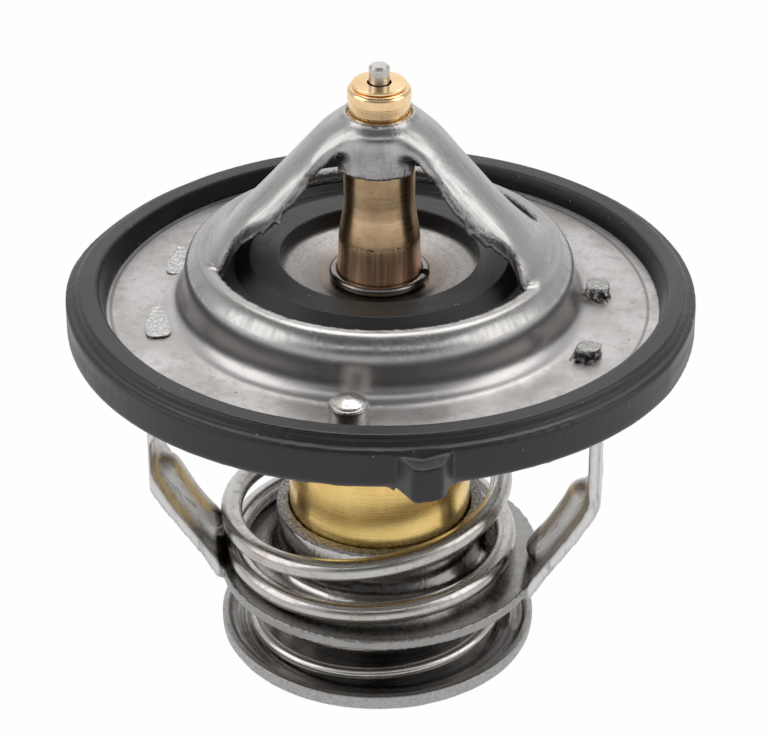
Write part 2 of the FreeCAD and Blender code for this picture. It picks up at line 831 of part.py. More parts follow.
def make_lower_frame():
    bore = d.cup_radius + d.collar_gap
    ring = turned("frame_ring", [
        (bore, d.frame_ring_top - d.frame_sheet, d.frame_sheet - d.collar_gap),
        (d.frame_ring_radius, d.frame_ring_top - d.frame_sheet),
        (d.frame_ring_radius, d.frame_ring_top),
        (d.collar_radius, d.frame_ring_top, d.collar_fillet),
        (d.collar_radius, d.collar_top),
        (bore, d.collar_top)])
    pieces, grooves = [], []
    for side in (1, -1):
        name = "right" if side > 0 else "left"
        arm = new_body("frame_arm_" + name)
        pad(arm, arm_profile(side), "Strip", "XZ_Plane", None, 2 * d.frame_arm_half_width, True)
        inner = side * (d.frame_arm_reach - d.frame_sheet)
        outer = side * d.frame_arm_reach
        top, low = -d.sheet, -d.sheet - d.frame_top_depth
        wide, narrow = d.frame_top_half_width, d.frame_arm_half_width
        pad(arm, [(-wide, top), (wide, top), (wide, low, d.frame_head_round), (narrow, low - wide + narrow),
                  (-narrow, low - wide + narrow), (-wide, low, d.frame_head_round)],
            "Head", "YZ_Plane", inner if side > 0 else outer, d.frame_sheet)
        arm.setExpression("Placement.Base.y", (-d.frame_arm_aside).formula)
        pieces += [arm, bead("bead_%s" % name, side, SIZES["bead_radius"] + SIZES["bead_wall"])]
        grooves.append(bead("bead_groove_%s" % name, side, SIZES["bead_radius"]))
        for half in (1, -1):
            left = d.frame_arm_reach - d.frame_sheet if side > 0 else -d.frame_arm_reach
            pieces.append(box("frame_tab_%s_%d" % (name, half > 0),
                              (d.frame_sheet, d.tab_width, d.sheet + d.tab_height + d.frame_sheet),
                              (left, half * d.tab_spread - d.frame_arm_aside - d.tab_width / 2,
                               -d.sheet - d.frame_sheet)))
    return boolean("Cut", "lower_frame", boolean("Fuse", "beaded_frame", ring, pieces), grooves)


# Bypass valve

def hub_top():
    return d.disc_bottom + d.disc_sheet + d.disc_hub_rise


def make_rod():
    return turned("bypass_rod", [
        (0, d.cup_bottom),
        (d.rod_radius, d.cup_bottom),
        (d.rod_radius, d.rod_bottom + d.rod_chamfer),
        (d.rod_radius - d.rod_chamfer, d.rod_bottom),
        (0, d.rod_bottom)])


def make_disc():
    bottom = d.disc_bottom
    inside = d.disc_bottom + d.disc_sheet
    return turned("bypass_disc", [
        (d.rod_radius + d.running_gap, hub_top()),
        (d.disc_hub_radius, hub_top(), d.disc_bend),
        (d.disc_cone_radius, inside, d.disc_bend),
        (d.disc_radius - d.disc_sheet, inside, d.disc_lip_bend),
        (d.disc_radius - d.disc_sheet, d.disc_lip_top),
        (d.disc_radius, d.disc_lip_top),
        (d.disc_radius, bottom, d.disc_edge_round),
        (d.disc_cone_radius, bottom, d.disc_bend),
        (d.disc_hub_radius, hub_top() - d.disc_sheet, d.disc_bend),
        (d.rod_radius + d.running_gap, hub_top() - d.disc_sheet)])


def make_clip():
    top = hub_top() - d.disc_sheet
    return turned("rod_clip", [
        (d.rod_radius, top),
        (d.clip_radius, top),
        (d.clip_radius, top - d.clip_thickness),
        (d.rod_radius, top - d.clip_thickness)])


# Jiggle pin, loose in its hole, with a weight riveted on below the flange

def make_jiggle_pin():
    body = turned("jiggle_pin", [
        (0, d.jiggle_head),
        (d.jiggle_head_radius, d.jiggle_head, d.jiggle_round),
        (d.jiggle_head_radius, 0),
        (d.jiggle_shank, 0),
        (d.jiggle_shank, -d.sheet - d.jiggle_travel - d.jiggle_weight),
        (0, -d.sheet - d.jiggle_travel - d.jiggle_weight)])
    body.setExpression("Placement.Base.y", (-d.jiggle_place).formula)
    return body


def make_jiggle_weight():
    top = -d.sheet - d.jiggle_travel - d.weight_gap
    bottom = -d.sheet - d.jiggle_travel - d.jiggle_weight
    body = turned("jiggle_weight", [
        (d.jiggle_shank, top),
        (d.jiggle_weight_radius, top, d.jiggle_weight_round),
        (d.jiggle_weight_radius, bottom, d.jiggle_weight_tip_round),
        (d.jiggle_shank, bottom)])
    body.setExpression("Placement.Base.y", (-d.jiggle_place).formula)
    return body


def check(things):
    """Every object has computed and every sub-part is a valid shape."""
    for thing in doc.Objects:
        state = set(thing.State) & {"Invalid", "Error"}
        if state:
            raise RuntimeError("%s: %s" % (thing.Label, ", ".join(thing.State)))
    for thing in things:
        shape = thing.Shape
        if shape.isNull() or not shape.isValid() or len(shape.Solids) < 1:
            raise RuntimeError("%s has no valid solid" % thing.Label)


def main():
    things = [make_flange_bridge(), make_gasket(), make_cap(), make_piston(), make_stem(), make_snap_ring(),
              make_plate(), make_seal(), make_cup(), make_boot(), make_wax(), make_main_spring(),
              make_lower_frame(), make_rod(), make_disc(), make_clip(), make_bypass_spring(),
              make_jiggle_pin(), make_jiggle_weight()]
    for thing in things:
        if thing.Label != "snap_ring":
            thing.setExpression("Placement.Base.z", (-d.gasket_crown).formula)
    doc.recompute()
    check(things)
    os.makedirs("parts", exist_ok=True)
    for thing in things:
        thing.Shape.exportStep("parts/%s.step" % thing.Label)
        print(thing.Label, len(thing.Shape.Solids), round(thing.Shape.Volume, 1))


main()
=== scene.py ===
import math

import bpy
import numpy as np
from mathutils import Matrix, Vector

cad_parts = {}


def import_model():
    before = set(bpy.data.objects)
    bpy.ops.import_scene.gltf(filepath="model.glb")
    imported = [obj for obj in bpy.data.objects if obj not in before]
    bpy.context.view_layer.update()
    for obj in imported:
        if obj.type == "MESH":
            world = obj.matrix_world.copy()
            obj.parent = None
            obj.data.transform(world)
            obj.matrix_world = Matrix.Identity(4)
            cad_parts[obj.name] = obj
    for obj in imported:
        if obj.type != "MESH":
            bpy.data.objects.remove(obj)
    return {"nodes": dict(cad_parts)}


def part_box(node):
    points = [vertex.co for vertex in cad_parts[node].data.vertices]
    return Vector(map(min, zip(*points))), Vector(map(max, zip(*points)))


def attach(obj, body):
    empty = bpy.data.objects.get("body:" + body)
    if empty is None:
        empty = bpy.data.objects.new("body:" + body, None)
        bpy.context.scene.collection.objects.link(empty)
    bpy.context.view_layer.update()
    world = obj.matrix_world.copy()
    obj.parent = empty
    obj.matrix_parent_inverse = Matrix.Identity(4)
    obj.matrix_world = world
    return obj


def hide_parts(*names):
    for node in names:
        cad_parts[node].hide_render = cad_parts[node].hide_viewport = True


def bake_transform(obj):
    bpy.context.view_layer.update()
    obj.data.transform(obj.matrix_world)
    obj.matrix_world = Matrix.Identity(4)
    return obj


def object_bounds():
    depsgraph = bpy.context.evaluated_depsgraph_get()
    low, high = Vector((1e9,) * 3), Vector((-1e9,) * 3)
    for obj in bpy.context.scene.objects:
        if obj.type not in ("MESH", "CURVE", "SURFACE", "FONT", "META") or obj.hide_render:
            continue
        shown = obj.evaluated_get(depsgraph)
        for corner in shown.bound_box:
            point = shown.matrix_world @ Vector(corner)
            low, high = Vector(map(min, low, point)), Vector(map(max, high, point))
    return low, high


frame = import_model()
cad_low, cad_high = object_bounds()

MM = 0.001
nodes = frame["nodes"]

# Height of the flange's top face, which lies under the origin, in metres
FLANGE_TOP = -3.0 * MM

# Heights above the flange's top face, in millimetres
RING_TOP = -30.5
DISC_HUB_TOP, DISC_HUB_UNDER = -36.55, -37.55
DISC_LIP_TOP, DISC_FLOOR, DISC_BOTTOM = -37.85, -38.75, -39.75
PIN_TIP, PIN_BOTTOM = 2.62, -5.6

# The flange's sheet, the slots beside the frame's tabs, and radii of disc, pin and spring, in millimetres
SHEET = 1.2
SLOT_ACROSS, SLOTS_ALONG, SLOT_HALF = 22.7, (3.9, -8.7), (0.9, 1.6)
DISC_HOLE, DISC_HUB, DISC_HUB_FOOT, DISC_FLOOR_EDGE, DISC_RIM = 2.1, 5.5, 8.0, 15.55, 16.7
PIN_HEAD, PIN_SHANK, PIN_CENTRE = 1.97, 1.0, (0.0, -23.6)
SPRING_RADIUS, SPRING_WIRE = 14.3, 1.13

# Turn of the rubber ring's tab to the right of the front, in degrees
TAB_ANGLE = 14.0


def above_flange(height):
    return height + FLANGE_TOP / MM


def darker(colour, share):
    return tuple(channel * share for channel in colour)


# Materials: every texture runs on object coordinates in millimetres

class Shade:
    """A material under construction: adds nodes and links them in one call each."""

    def __init__(self, name, metallic, roughness, colour):
        self.material = bpy.data.materials.new(name)
        self.material.use_nodes = True
        self.tree = self.material.node_tree
        self.shader = self.tree.nodes["Principled BSDF"]
        self.shader.inputs["Metallic"].default_value = metallic
        self.shader.inputs["Roughness"].default_value = roughness
        self.shader.inputs["Base Color"].default_value = (*colour, 1)
        self.where = self.vector("MULTIPLY", self.tree.nodes.new("ShaderNodeTexCoord").outputs["Object"],
                                 (1 / MM,) * 3)
        apart = self.add("ShaderNodeSeparateXYZ", Vector=self.where)
        self.x, self.y, self.z = apart.outputs
        square = self.math("ADD", self.times(self.x, self.x), self.times(self.y, self.y))
        self.radius = self.math("SQRT", square)
        self.angle = self.math("ARCTAN2", self.y, self.x)

    def put(self, socket, value):
        if isinstance(value, bpy.types.NodeSocket):
            self.tree.links.new(value, socket)
        elif socket.type == "RGBA":
            socket.default_value = (*value, 1)
        else:
            socket.default_value = value

    def add(self, kind, **inputs):
        node = self.tree.nodes.new(kind)
        for name, value in inputs.items():
            self.put(node.inputs[name], value)
        return node

    def math(self, operation, first, second=None):
        node = self.tree.nodes.new("ShaderNodeMath")
        node.operation = operation
        self.put(node.inputs[0], first)
        if second is not None:
            self.put(node.inputs[1], second)
        return node.outputs[0]

    def times(self, first, second):
        return self.math("MULTIPLY", first, second)

    def vector(self, operation, first, second):
        node = self.tree.nodes.new("ShaderNodeVectorMath")
        node.operation = operation
        self.put(node.inputs[0], first)
        self.put(node.inputs[1], second)
        return node.outputs[0]

    def at(self, x, y, z):
        return self.add("ShaderNodeCombineXYZ", X=x, Y=y, Z=z).outputs[0]

    def noise(self, scale, detail=4.0, rough=0.55, where=None, stretch=None):
        """Noise from 0 to 1; scale is in features per millimetre."""
        where = self.where if where is None else where
        if stretch is not None:
            where = self.vector("MULTIPLY", where, stretch)
        node = self.add("ShaderNodeTexNoise", Vector=where, Scale=scale, Detail=detail, Roughness=rough)
        return node.outputs["Fac"]

    def cells(self, scale):
        return self.add("ShaderNodeTexVoronoi", Vector=self.where, Scale=scale).outputs["Distance"]

    def span(self, value, low, high, out_low=0.0, out_high=1.0):
        """Maps low..high smoothly to out_low..out_high, held at both ends."""
        node = self.add("ShaderNodeMapRange")
        node.interpolation_type = "SMOOTHSTEP"
        for socket, number in zip(node.inputs[:5], (value, low, high, out_low, out_high)):
            self.put(socket, number)
        return node.outputs[0]

    def level(self, low, high, out_low=0.0, out_high=1.0):
        """Like span, for the height above the flange's top face."""
        return self.span(self.z, above_flange(low), above_flange(high), out_low, out_high)

    def mix(self, share, first, second):
        """Mixes two colours."""
        node = self.tree.nodes.new("ShaderNodeMix")
        node.data_type = "RGBA"
        colours = [socket for socket in node.inputs if socket.type == "RGBA"]
        self.put(node.inputs[0], share)
        self.put(colours[0], first)
        self.put(colours[1], second)
        return next(socket for socket in node.outputs if socket.type == "RGBA")

    def blend(self, share, first, second):
        """Mixes two numbers."""
        node = self.tree.nodes.new("ShaderNodeMix")
        self.put(node.inputs[0], share)
        self.put(node.inputs[2], first)
        self.put(node.inputs[3], second)
        return node.outputs[0]

    def bump(self, height, depth, below=None):
        """A relief whose height runs from 0 to 1 over depth millimetres."""
        node = self.add("ShaderNodeBump", Height=height, Strength=1.0, Distance=depth * MM)
        if below is not None:
            self.put(node.inputs["Normal"], below)
        return node.outputs[0]

    def wear(self):
        """Share of rough, sheared edge at a point, painted on the finer meshes."""
        node = self.tree.nodes.new("ShaderNodeAttribute")
        node.attribute_name = "edge"
        return node.outputs["Fac"]

    def round_about(self, across, along):
        """Coordinates that run round the axis: features are long round it or along the profile."""
        turn = self.times(self.angle, across)
        return self.at(turn, self.times(self.radius, along), self.times(self.z, along))

    def turned(self, amount):
        """Fine lines round the axis: highlights are drawn out across them."""
        tangent = self.tree.nodes.new("ShaderNodeTangent")
        tangent.direction_type = "RADIAL"
        tangent.axis = "Z"
        self.put(self.shader.inputs["Tangent"], tangent.outputs[0])
        self.shader.inputs["Anisotropic"].default_value = amount
        self.shader.inputs["Anisotropic Rotation"].default_value = 0.25

    def finish(self, colour, roughness, normal):
        for name, value in (("Base Color", colour), ("Roughness", roughness), ("Normal", normal)):
            self.put(self.shader.inputs[name], value)
        return self.material


def flange_steel():
    """Tumbled flat flange, drawn dome and arms, torn grey edges where the windows were pierced."""
    s = Shade("flange_steel", 1.0, 0.3, (0.6, 0.58, 0.57))
    flat = s.times(s.span(s.radius, 20.6, 21.9), s.level(0.3, 1.0, 1, 0))
    arm = s.level(6.5, 7.6)
    crown = s.times(s.level(5.6, 6.1), s.math("SUBTRACT", 1.0, arm))
    edge = s.wear()
    grain = s.noise(1.9, 6, 0.62)
    fine = s.noise(5.5, 4, 0.7)
    patches = s.noise(0.11, 3, 0.6)
    streaks = s.noise(1.0, 5, 0.65, s.round_about(26, 0.3))
    arcs = s.noise(1.0, 5, 0.65, s.round_about(1.1, 5.5))
    arm_lines = s.noise(1.0, 4, 0.6, stretch=(0.25, 2.4, 0.25))
    lines = s.blend(crown, s.blend(arm, streaks, arm_lines), arcs)
    wall = s.times(s.level(4.2, 5.2, 1, 0), s.span(s.radius, 18.6, 19.2))
    lines = s.times(lines, s.blend(wall, 1.0, 0.55))
    drawn = s.mix(s.span(lines, 0.42, 0.72), (0.52, 0.51, 0.5), (0.4, 0.39, 0.38))
    mottle = s.times(s.span(s.noise(0.3, 3), 0.48, 0.62), s.span(grain, 0.5, 0.66))
    drawn = s.mix(s.times(mottle, 0.35), drawn, (0.26, 0.255, 0.25))
    tumbled = s.mix(s.span(patches, 0.38, 0.62), (0.43, 0.415, 0.405), (0.57, 0.555, 0.55))
    blots = s.noise(0.75, 4, 0.65)
    tumbled = s.mix(s.times(s.span(blots, 0.48, 0.66), 0.5), tumbled, (0.34, 0.322, 0.31))
    tumbled = s.mix(s.times(s.span(grain, 0.52, 0.68), 0.4), tumbled, (0.34, 0.32, 0.305))
    tumbled = s.mix(s.times(s.span(fine, 0.56, 0.7), 0.3), tumbled, (0.75, 0.74, 0.73))
    stain = s.times(s.span(s.noise(0.28, 4, 0.6, stretch=(1, 1, 0)), 0.6, 0.72), 0.45)
    tumbled = s.mix(stain, tumbled, (0.46, 0.38, 0.31))
    specks = s.times(s.span(s.cells(0.55), 0.05, 0.1, 1, 0), s.span(s.noise(0.3, 2), 0.52, 0.6))
    tumbled = s.mix(s.times(specks, 0.7), tumbled, (0.15, 0.12, 0.1))
    # painted shade: a thin dark ring on the flange just inside the rubber ring
    rubber_foot_shade = s.times(s.span(s.radius, 26.9, 27.15), s.span(s.radius, 27.3, 27.35, 1, 0))
    tumbled = s.mix(s.times(rubber_foot_shade, 0.75), tumbled, (0.2, 0.18, 0.17))
    drawn = s.mix(s.times(crown, 0.45), drawn, (0.27, 0.262, 0.256))
    drawn = s.mix(s.times(wall, 0.6), drawn, (0.66, 0.64, 0.63))
    colour = s.mix(flat, drawn, tumbled)
    torn = s.span(s.noise(3.2, 5, 0.7), 0.38, 0.62)
    colour = s.mix(s.span(edge, 0.25, 0.7), colour, s.mix(torn, (0.13, 0.127, 0.124), (0.4, 0.39, 0.385)))
    roughness = s.blend(flat, s.span(lines, 0.3, 0.75, 0.22, 0.34), s.span(grain, 0.3, 0.7, 0.26, 0.42))
    roughness = s.blend(s.times(wall, 0.7), roughness, 0.36)
    roughness = s.blend(edge, roughness, 0.5)
    relief = s.bump(s.noise(0.5, 3, 0.5), 0.015)
    relief = s.bump(s.times(fine, s.span(mottle, 0.0, 0.5, 0.3, 1.0)), 0.012, relief)
    relief = s.bump(lines, 0.004, relief)
    relief = s.bump(s.times(edge, s.noise(2.4, 6, 0.72)), 0.18, relief)
    return s.finish(colour, roughness, relief)


def rubber(name, gloss, matt_radius):
    """Moulded rubber: soft sheen that comes and goes, a dull inner wall, fine pores and pale dust."""
    s = Shade(name, 0.0, 0.45, (0.02, 0.02, 0.021))
    cloud = s.noise(0.16, 4, 0.6)
    smear = s.noise(0.5, 4, 0.6, s.round_about(4, 1.6))
    pores = s.noise(5.0, 3, 0.6)
    specks = s.span(s.cells(0.9), 0.07, 0.11, 1, 0)
    dusty = s.times(specks, s.span(s.noise(0.35, 2), 0.54, 0.6))
    colour = s.mix(cloud, (0.008, 0.008, 0.009), (0.018, 0.018, 0.019))
    colour = s.mix(s.times(s.span(smear, 0.5, 0.8), 0.5), colour, (0.036, 0.036, 0.037))
    colour = s.mix(s.times(dusty, 0.7), colour, (0.34, 0.33, 0.32))
    unevenness = s.math("ADD", s.times(smear, 0.6), s.times(cloud, 0.4))
    roughness = s.span(unevenness, 0.35, 0.68, gloss, gloss + 0.16)
    sheen = s.span(s.radius, matt_radius, matt_radius + 0.5, 0.1, 0.55)
    s.put(s.shader.inputs["Specular IOR Level"], sheen)
    relief = s.bump(pores, 0.012)
    relief = s.bump(s.noise(0.8, 3), 0.015, relief)
    return s.finish(colour, roughness, relief)


def turned_brass(name, bright, dull, gloss, line_depth, grey_below=None):
    """Lathe-turned brass: fine rings round the axis and soft tarnish; below a height, if given, bare steel."""
    s = Shade(name, 1.0, gloss, bright)
    rings = s.noise(1.0, 4, 0.65, s.round_about(0.4, 9))
    tarnish = s.noise(0.35, 4, 0.6)
    pits = s.span(s.noise(3.0, 4, 0.7), 0.62, 0.76)
    colour = s.mix(s.span(tarnish, 0.38, 0.66), bright, dull)
    colour = s.mix(s.times(pits, 0.4), colour, darker(dull, 0.5))
    if grey_below is not None:
        low = s.level(grey_below, grey_below + 0.3, 1, 0)
        colour = s.mix(low, colour, (0.6, 0.585, 0.57))
    roughness = s.span(rings, 0.3, 0.7, gloss, gloss + 0.1)
    relief = s.bump(rings, line_depth)
    relief = s.bump(s.noise(0.7, 2), 0.01, relief)
    s.turned(0.6)
    return s.finish(colour, roughness, relief)


def stem_brass():
    """Browned turned brass; the press-fit band above the plate is redder and streaked upright."""
    s = Shade("stem_brass", 1.0, 0.3, (0.7, 0.5, 0.29))
    step = s.noise(1.6, 3, 0.6, s.at(s.times(s.angle, 8), 0, 0))
    ragged = s.math("ADD", s.z, s.times(step, 0.5))
    band = s.span(ragged, above_flange(7.75), above_flange(7.9), 1, 0)
    rim = s.times(s.span(ragged, above_flange(7.75), above_flange(7.9)),
                  s.span(ragged, above_flange(8.0), above_flange(8.15), 1, 0))
    rings = s.noise(1.0, 4, 0.65, s.round_about(0.5, 7))
    upright = s.noise(1.0, 4, 0.55, s.round_about(13, 0.15))
    blotch = s.noise(0.5, 4, 0.65)
    colour = s.mix(s.span(blotch, 0.36, 0.66), (0.98, 0.7, 0.42), (0.8, 0.54, 0.31))
    colour = s.mix(s.times(s.span(rings, 0.52, 0.75), 0.25), colour, (0.36, 0.23, 0.13))
    dark = s.mix(s.span(upright, 0.3, 0.7), (0.95, 0.62, 0.4), (0.58, 0.36, 0.23))
    colour = s.mix(band, colour, dark)
    dashes = s.times(rim, s.span(s.noise(1.0, 3, 0.6, s.round_about(12, 0.5)), 0.5, 0.6))
    colour = s.mix(s.times(dashes, 0.85), colour, (0.08, 0.05, 0.035))
    scratch = s.span(s.noise(2.2, 2, 0.5, stretch=(1, 1, 0.25)), 0.71, 0.76)
    colour = s.mix(s.times(scratch, 0.6), colour, (0.2, 0.13, 0.08))
    roughness = s.blend(band, s.span(rings, 0.3, 0.7, 0.26, 0.38), 0.36)
    relief = s.bump(s.blend(band, s.times(rings, 0.3), upright), 0.02)
    s.turned(0.6)
    return s.finish(colour, roughness, relief)


def metal(name, colour, gloss, grain=1.2, depth=0.012, tint=(0.5, 0.44, 0.38), around=None, waves=0.02):
    """Worn grey metal: fine grain, a warm tint in patches and uneven gloss."""
    s = Shade(name, 1.0, gloss, colour)
    where = s.round_about(*around) if around else None
    fine = s.noise(grain, 5, 0.62, where)
    patches = s.noise(0.22, 4, 0.6)
    shade = s.mix(s.span(patches, 0.45, 0.75), colour, tint)
    shade = s.mix(s.times(s.span(fine, 0.5, 0.75), 0.5), shade, darker(colour, 0.5))
    edge = s.wear()
    shade = s.mix(s.times(edge, 0.5), shade, darker(colour, 0.55))
    roughness = s.blend(edge, s.span(fine, 0.3, 0.72, gloss, gloss + 0.16), 0.55)
    relief = s.bump(fine, depth)
    relief = s.bump(s.noise(0.6, 3), waves, relief)
    return s.finish(shade, roughness, relief)


def valve_plate_steel():
    """Pressed plate: fine grain, faint turned arcs and a brown bloom round the stem."""
    s = Shade("plate_steel", 1.0, 0.34, (0.4, 0.39, 0.38))
    grain = s.noise(2.6, 6, 0.66)
    arcs = s.noise(1.0, 4, 0.6, s.round_about(0.6, 4.0))
    near = s.span(s.math("ADD", s.radius, s.times(s.noise(0.4, 3), 2.0)), 6.2, 9.4, 1, 0)
    colour = s.mix(s.span(arcs, 0.42, 0.7), (0.35, 0.336, 0.325), (0.29, 0.278, 0.268))
    colour = s.mix(s.times(s.span(grain, 0.46, 0.68), 0.5), colour, (0.19, 0.18, 0.172))
    colour = s.mix(s.times(near, 0.7), colour, (0.22, 0.165, 0.125))
    relief = s.bump(grain, 0.012)
    relief = s.bump(arcs, 0.004, relief)
    return s.finish(colour, s.span(grain, 0.3, 0.7, 0.3, 0.44), relief)


def smeared_steel(name, colour, top):
    """Hammered tab end: grainy on top, dark down its broken side, which starts at this height."""
    s = Shade(name, 1.0, 0.3, colour)
    grain = s.noise(4.0, 5, 0.7)
    pale = s.mix(s.span(grain, 0.42, 0.62), colour, darker(colour, 0.55))
    side = s.level(top - 0.06, top + 0.03, 1, 0)
    facets = s.span(s.noise(1.6, 2, 0.5), 0.5, 0.58)
    dark = s.mix(facets, (0.09, 0.086, 0.083), (0.55, 0.53, 0.51))
    shade = s.mix(side, pale, dark)
    relief = s.bump(grain, 0.02)
    return s.finish(shade, s.blend(side, 0.42, 0.2), relief)


def frame_steel():
    """Pressed strip: brushed along the arms, a polished collar with a grainy torn rim, dark in the folds, and
    painted shade on the flat ring plate under the spring.
    """
    s = Shade("frame_steel", 1.0, 0.25, (0.5, 0.49, 0.48))
    collar = s.times(s.span(s.radius, 12.8, 13.4, 1, 0), s.level(RING_TOP + 0.2, RING_TOP + 0.8))
    rim = s.level(-24.35, -24.1)
    arms = s.span(s.radius, 17.2, 17.6)
    inside = s.math("SUBTRACT", 1.0, arms)
    fine = s.noise(1.5, 5, 0.62)
    grain = s.noise(4.5, 4, 0.7)
    upright = s.noise(1.0, 5, 0.65, stretch=(0.8, 4.5, 0.22))
    patches = s.noise(0.25, 4, 0.6)
    colour = s.mix(s.span(patches, 0.42, 0.7), (0.52, 0.51, 0.5), (0.42, 0.395, 0.37))
    colour = s.mix(s.times(arms, 0.9), colour, (0.82, 0.81, 0.8))
    streak = s.times(s.span(upright, 0.5, 0.64), arms)
    colour = s.mix(s.times(streak, 0.6), colour, (0.3, 0.29, 0.285))
    colour = s.mix(s.times(s.span(fine, 0.55, 0.78), 0.2), colour, (0.3, 0.29, 0.28))
    colour = s.mix(s.times(collar, 0.7), colour, (0.62, 0.61, 0.6))
    rim = s.times(rim, s.span(s.radius, 12.0, 12.4, 1, 0))
    colour = s.mix(s.times(rim, s.span(grain, 0.45, 0.6)), colour, (0.16, 0.155, 0.15))
    stain = s.times(arms, s.span(s.noise(0.16, 3), 0.56, 0.66))
    colour = s.mix(s.times(stain, 0.25), colour, (0.4, 0.35, 0.3))
    # painted shade: the flat ring plate under the spring is darkened
    plate = s.times(s.span(s.radius, 13.2, 13.8), inside)
    colour = s.mix(s.times(plate, 0.6), colour, (0.27, 0.262, 0.256))
    edge = s.wear()
    colour = s.mix(s.times(edge, 0.35), colour, (0.3, 0.295, 0.29))
    roughness = s.blend(arms, s.span(fine, 0.3, 0.72, 0.22, 0.36), 0.45)
    roughness = s.blend(collar, roughness, 0.13)
    roughness = s.blend(rim, roughness, 0.45)
    relief = s.bump(s.noise(0.6, 3), 0.012)
    relief = s.bump(s.times(upright, arms), 0.012, relief)
    relief = s.bump(s.times(s.times(rim, inside), grain), 0.1, relief)
    relief = s.bump(s.times(edge, s.noise(3.0, 5, 0.7)), 0.04, relief)
    return s.finish(colour, roughness, relief)


def disc_steel():
    """Stamped disc: dull grainy lip, and a smooth floor with faint turned rings, darkened with painted shade.
    """
    s = Shade("disc_steel", 1.0, 0.3, (0.5, 0.49, 0.48))
    floor_share = s.span(s.radius, DISC_FLOOR_EDGE, DISC_FLOOR_EDGE + 0.2, 1, 0)
    grain = s.noise(3.2, 5, 0.7)
    rings = s.noise(1.0, 4, 0.6, s.round_about(0.3, 2.2))
    lip = s.mix(s.span(grain, 0.42, 0.68), (0.47, 0.46, 0.45), (0.33, 0.322, 0.316))
    # painted shade: the floor inside the lip is coloured dark
    dark = s.mix(s.span(rings, 0.42, 0.66), (0.36, 0.35, 0.345), (0.18, 0.175, 0.17))
    colour = s.mix(floor_share, lip, dark)
    roughness = s.blend(floor_share, s.span(grain, 0.3, 0.7, 0.36, 0.5), 0.16)
    relief = s.bump(grain, 0.012)
    relief = s.bump(s.times(rings, floor_share), 0.05, relief)
    return s.finish(colour, roughness, relief)


# Finer meshes of the drawn, moulded and pressed pieces

def rise(values, start, length):
    """0 up to start, then a straight rise to 1 over this length."""
    return np.clip((values - start) / length, 0, 1)


def fade(values, end, length):
    """0 from end on, and 1 from this length before it."""
    return np.clip((end - values) / length, 0, 1)


def ease(share):
    """Rounds a straight rise from 0 to 1 at both ends."""
    return share * share * (3 - 2 * share)


def placed(name, data):
    """A new object in the scene."""
    piece = bpy.data.objects.new(name, data)
    bpy.context.scene.collection.objects.link(piece)
    return piece


def settle(piece):
    """Puts what the piece's modifiers make in place of its mesh."""
    ready = piece.evaluated_get(bpy.context.evaluated_depsgraph_get())
    mesh = bpy.data.meshes.new_from_object(ready)
    piece.modifiers.clear()
    old = piece.data
    piece.data = mesh
    bpy.data.meshes.remove(old)


def add_blocks(mesh, blocks):
    """Joins closed blocks, each with its lowest and highest corner, to a mesh."""
    corners = [tuple(v.co) for v in mesh.vertices]
    faces = [tuple(face.vertices) for face in mesh.polygons]
    for low, high in blocks:
        first = len(corners)
        for k in range(8):
            corners.append(tuple((high if k >> axis & 1 else low)[axis] * MM for axis in range(3)))
        faces += [tuple(first + k for k in face) for face in
                  ((0, 2, 3, 1), (4, 5, 7, 6), (0, 1, 5, 4), (2, 6, 7, 3), (0, 4, 6, 2), (1, 3, 7, 5))]
    joined = bpy.data.meshes.new(mesh.name)
    joined.from_pydata(corners, [], faces)
    joined.update()
    return joined


def fine_copy(node_name, piece_name, voxel, blocks=()):
    """A closed copy of a node's mesh in even cells, as vertices and quads."""
    piece = placed(piece_name, add_blocks(nodes[node_name].data, blocks))
    cells = piece.modifiers.new("cells", "REMESH")
    cells.mode = "VOXEL"
    cells.voxel_size = voxel * MM
    cells.use_smooth_shade = True
    settle(piece)
    return piece


def triples(items, field):
    flat = np.empty(len(items) * 3, np.float32)
    items.foreach_get(field, flat)
    return flat.reshape(-1, 3).astype(np.float64)


def points_of(mesh):
    return triples(mesh.vertices, "co") / MM


def normals_of(mesh):
    return triples(mesh.vertex_normals, "vector")


def radius_of(points):
    return np.hypot(points[:, 0], points[:, 1])


def set_points(mesh, points):
    mesh.vertices.foreach_set("co", (points * MM).astype(np.float32).ravel())
    mesh.update()


class Neighbours:
    """Averages a value over each vertex's neighbours."""

    def __init__(self, mesh):
        ends = np.empty(len(mesh.edges) * 2, np.int32)
        mesh.edges.foreach_get("vertices", ends)
        self.first, self.second = ends.reshape(-1, 2).T
        self.count = len(mesh.vertices)
        self.links = np.maximum(np.bincount(np.concatenate((self.first, self.second)), minlength=self.count), 1)

    def mean(self, values):
        columns = values.reshape(self.count, -1)
        total = np.stack([np.bincount(self.first, column[self.second], self.count)
                          + np.bincount(self.second, column[self.first], self.count)
                          for column in columns.T], 1)
        return (total / self.links[:, None]).reshape(values.shape)

    def smooth(self, values, times, share=0.5):
        for _ in range(times):
            values = values + share * (self.mean(values) - values)
        return values

    def smooth_where(self, points, times, weight):
        for _ in range(times):
            points = points + 0.5 * weight[:, None] * (self.mean(points) - points)
        return points

    def fair(self, points, times, weight=1.0):
        """Smooths without shrinking: each step in is followed by a slightly larger step out."""
        weight = np.broadcast_to(np.asarray(weight, float).reshape(-1, 1), (self.count, 1))
        for _ in range(times):
            points = points + 0.5 * weight * (self.mean(points) - points)
            points = points - 0.53 * weight * (self.mean(points) - points)
        return points


NOISE_ROWS = 4096
NOISE_PRIMES = (73856093, 19349663, 83492791)


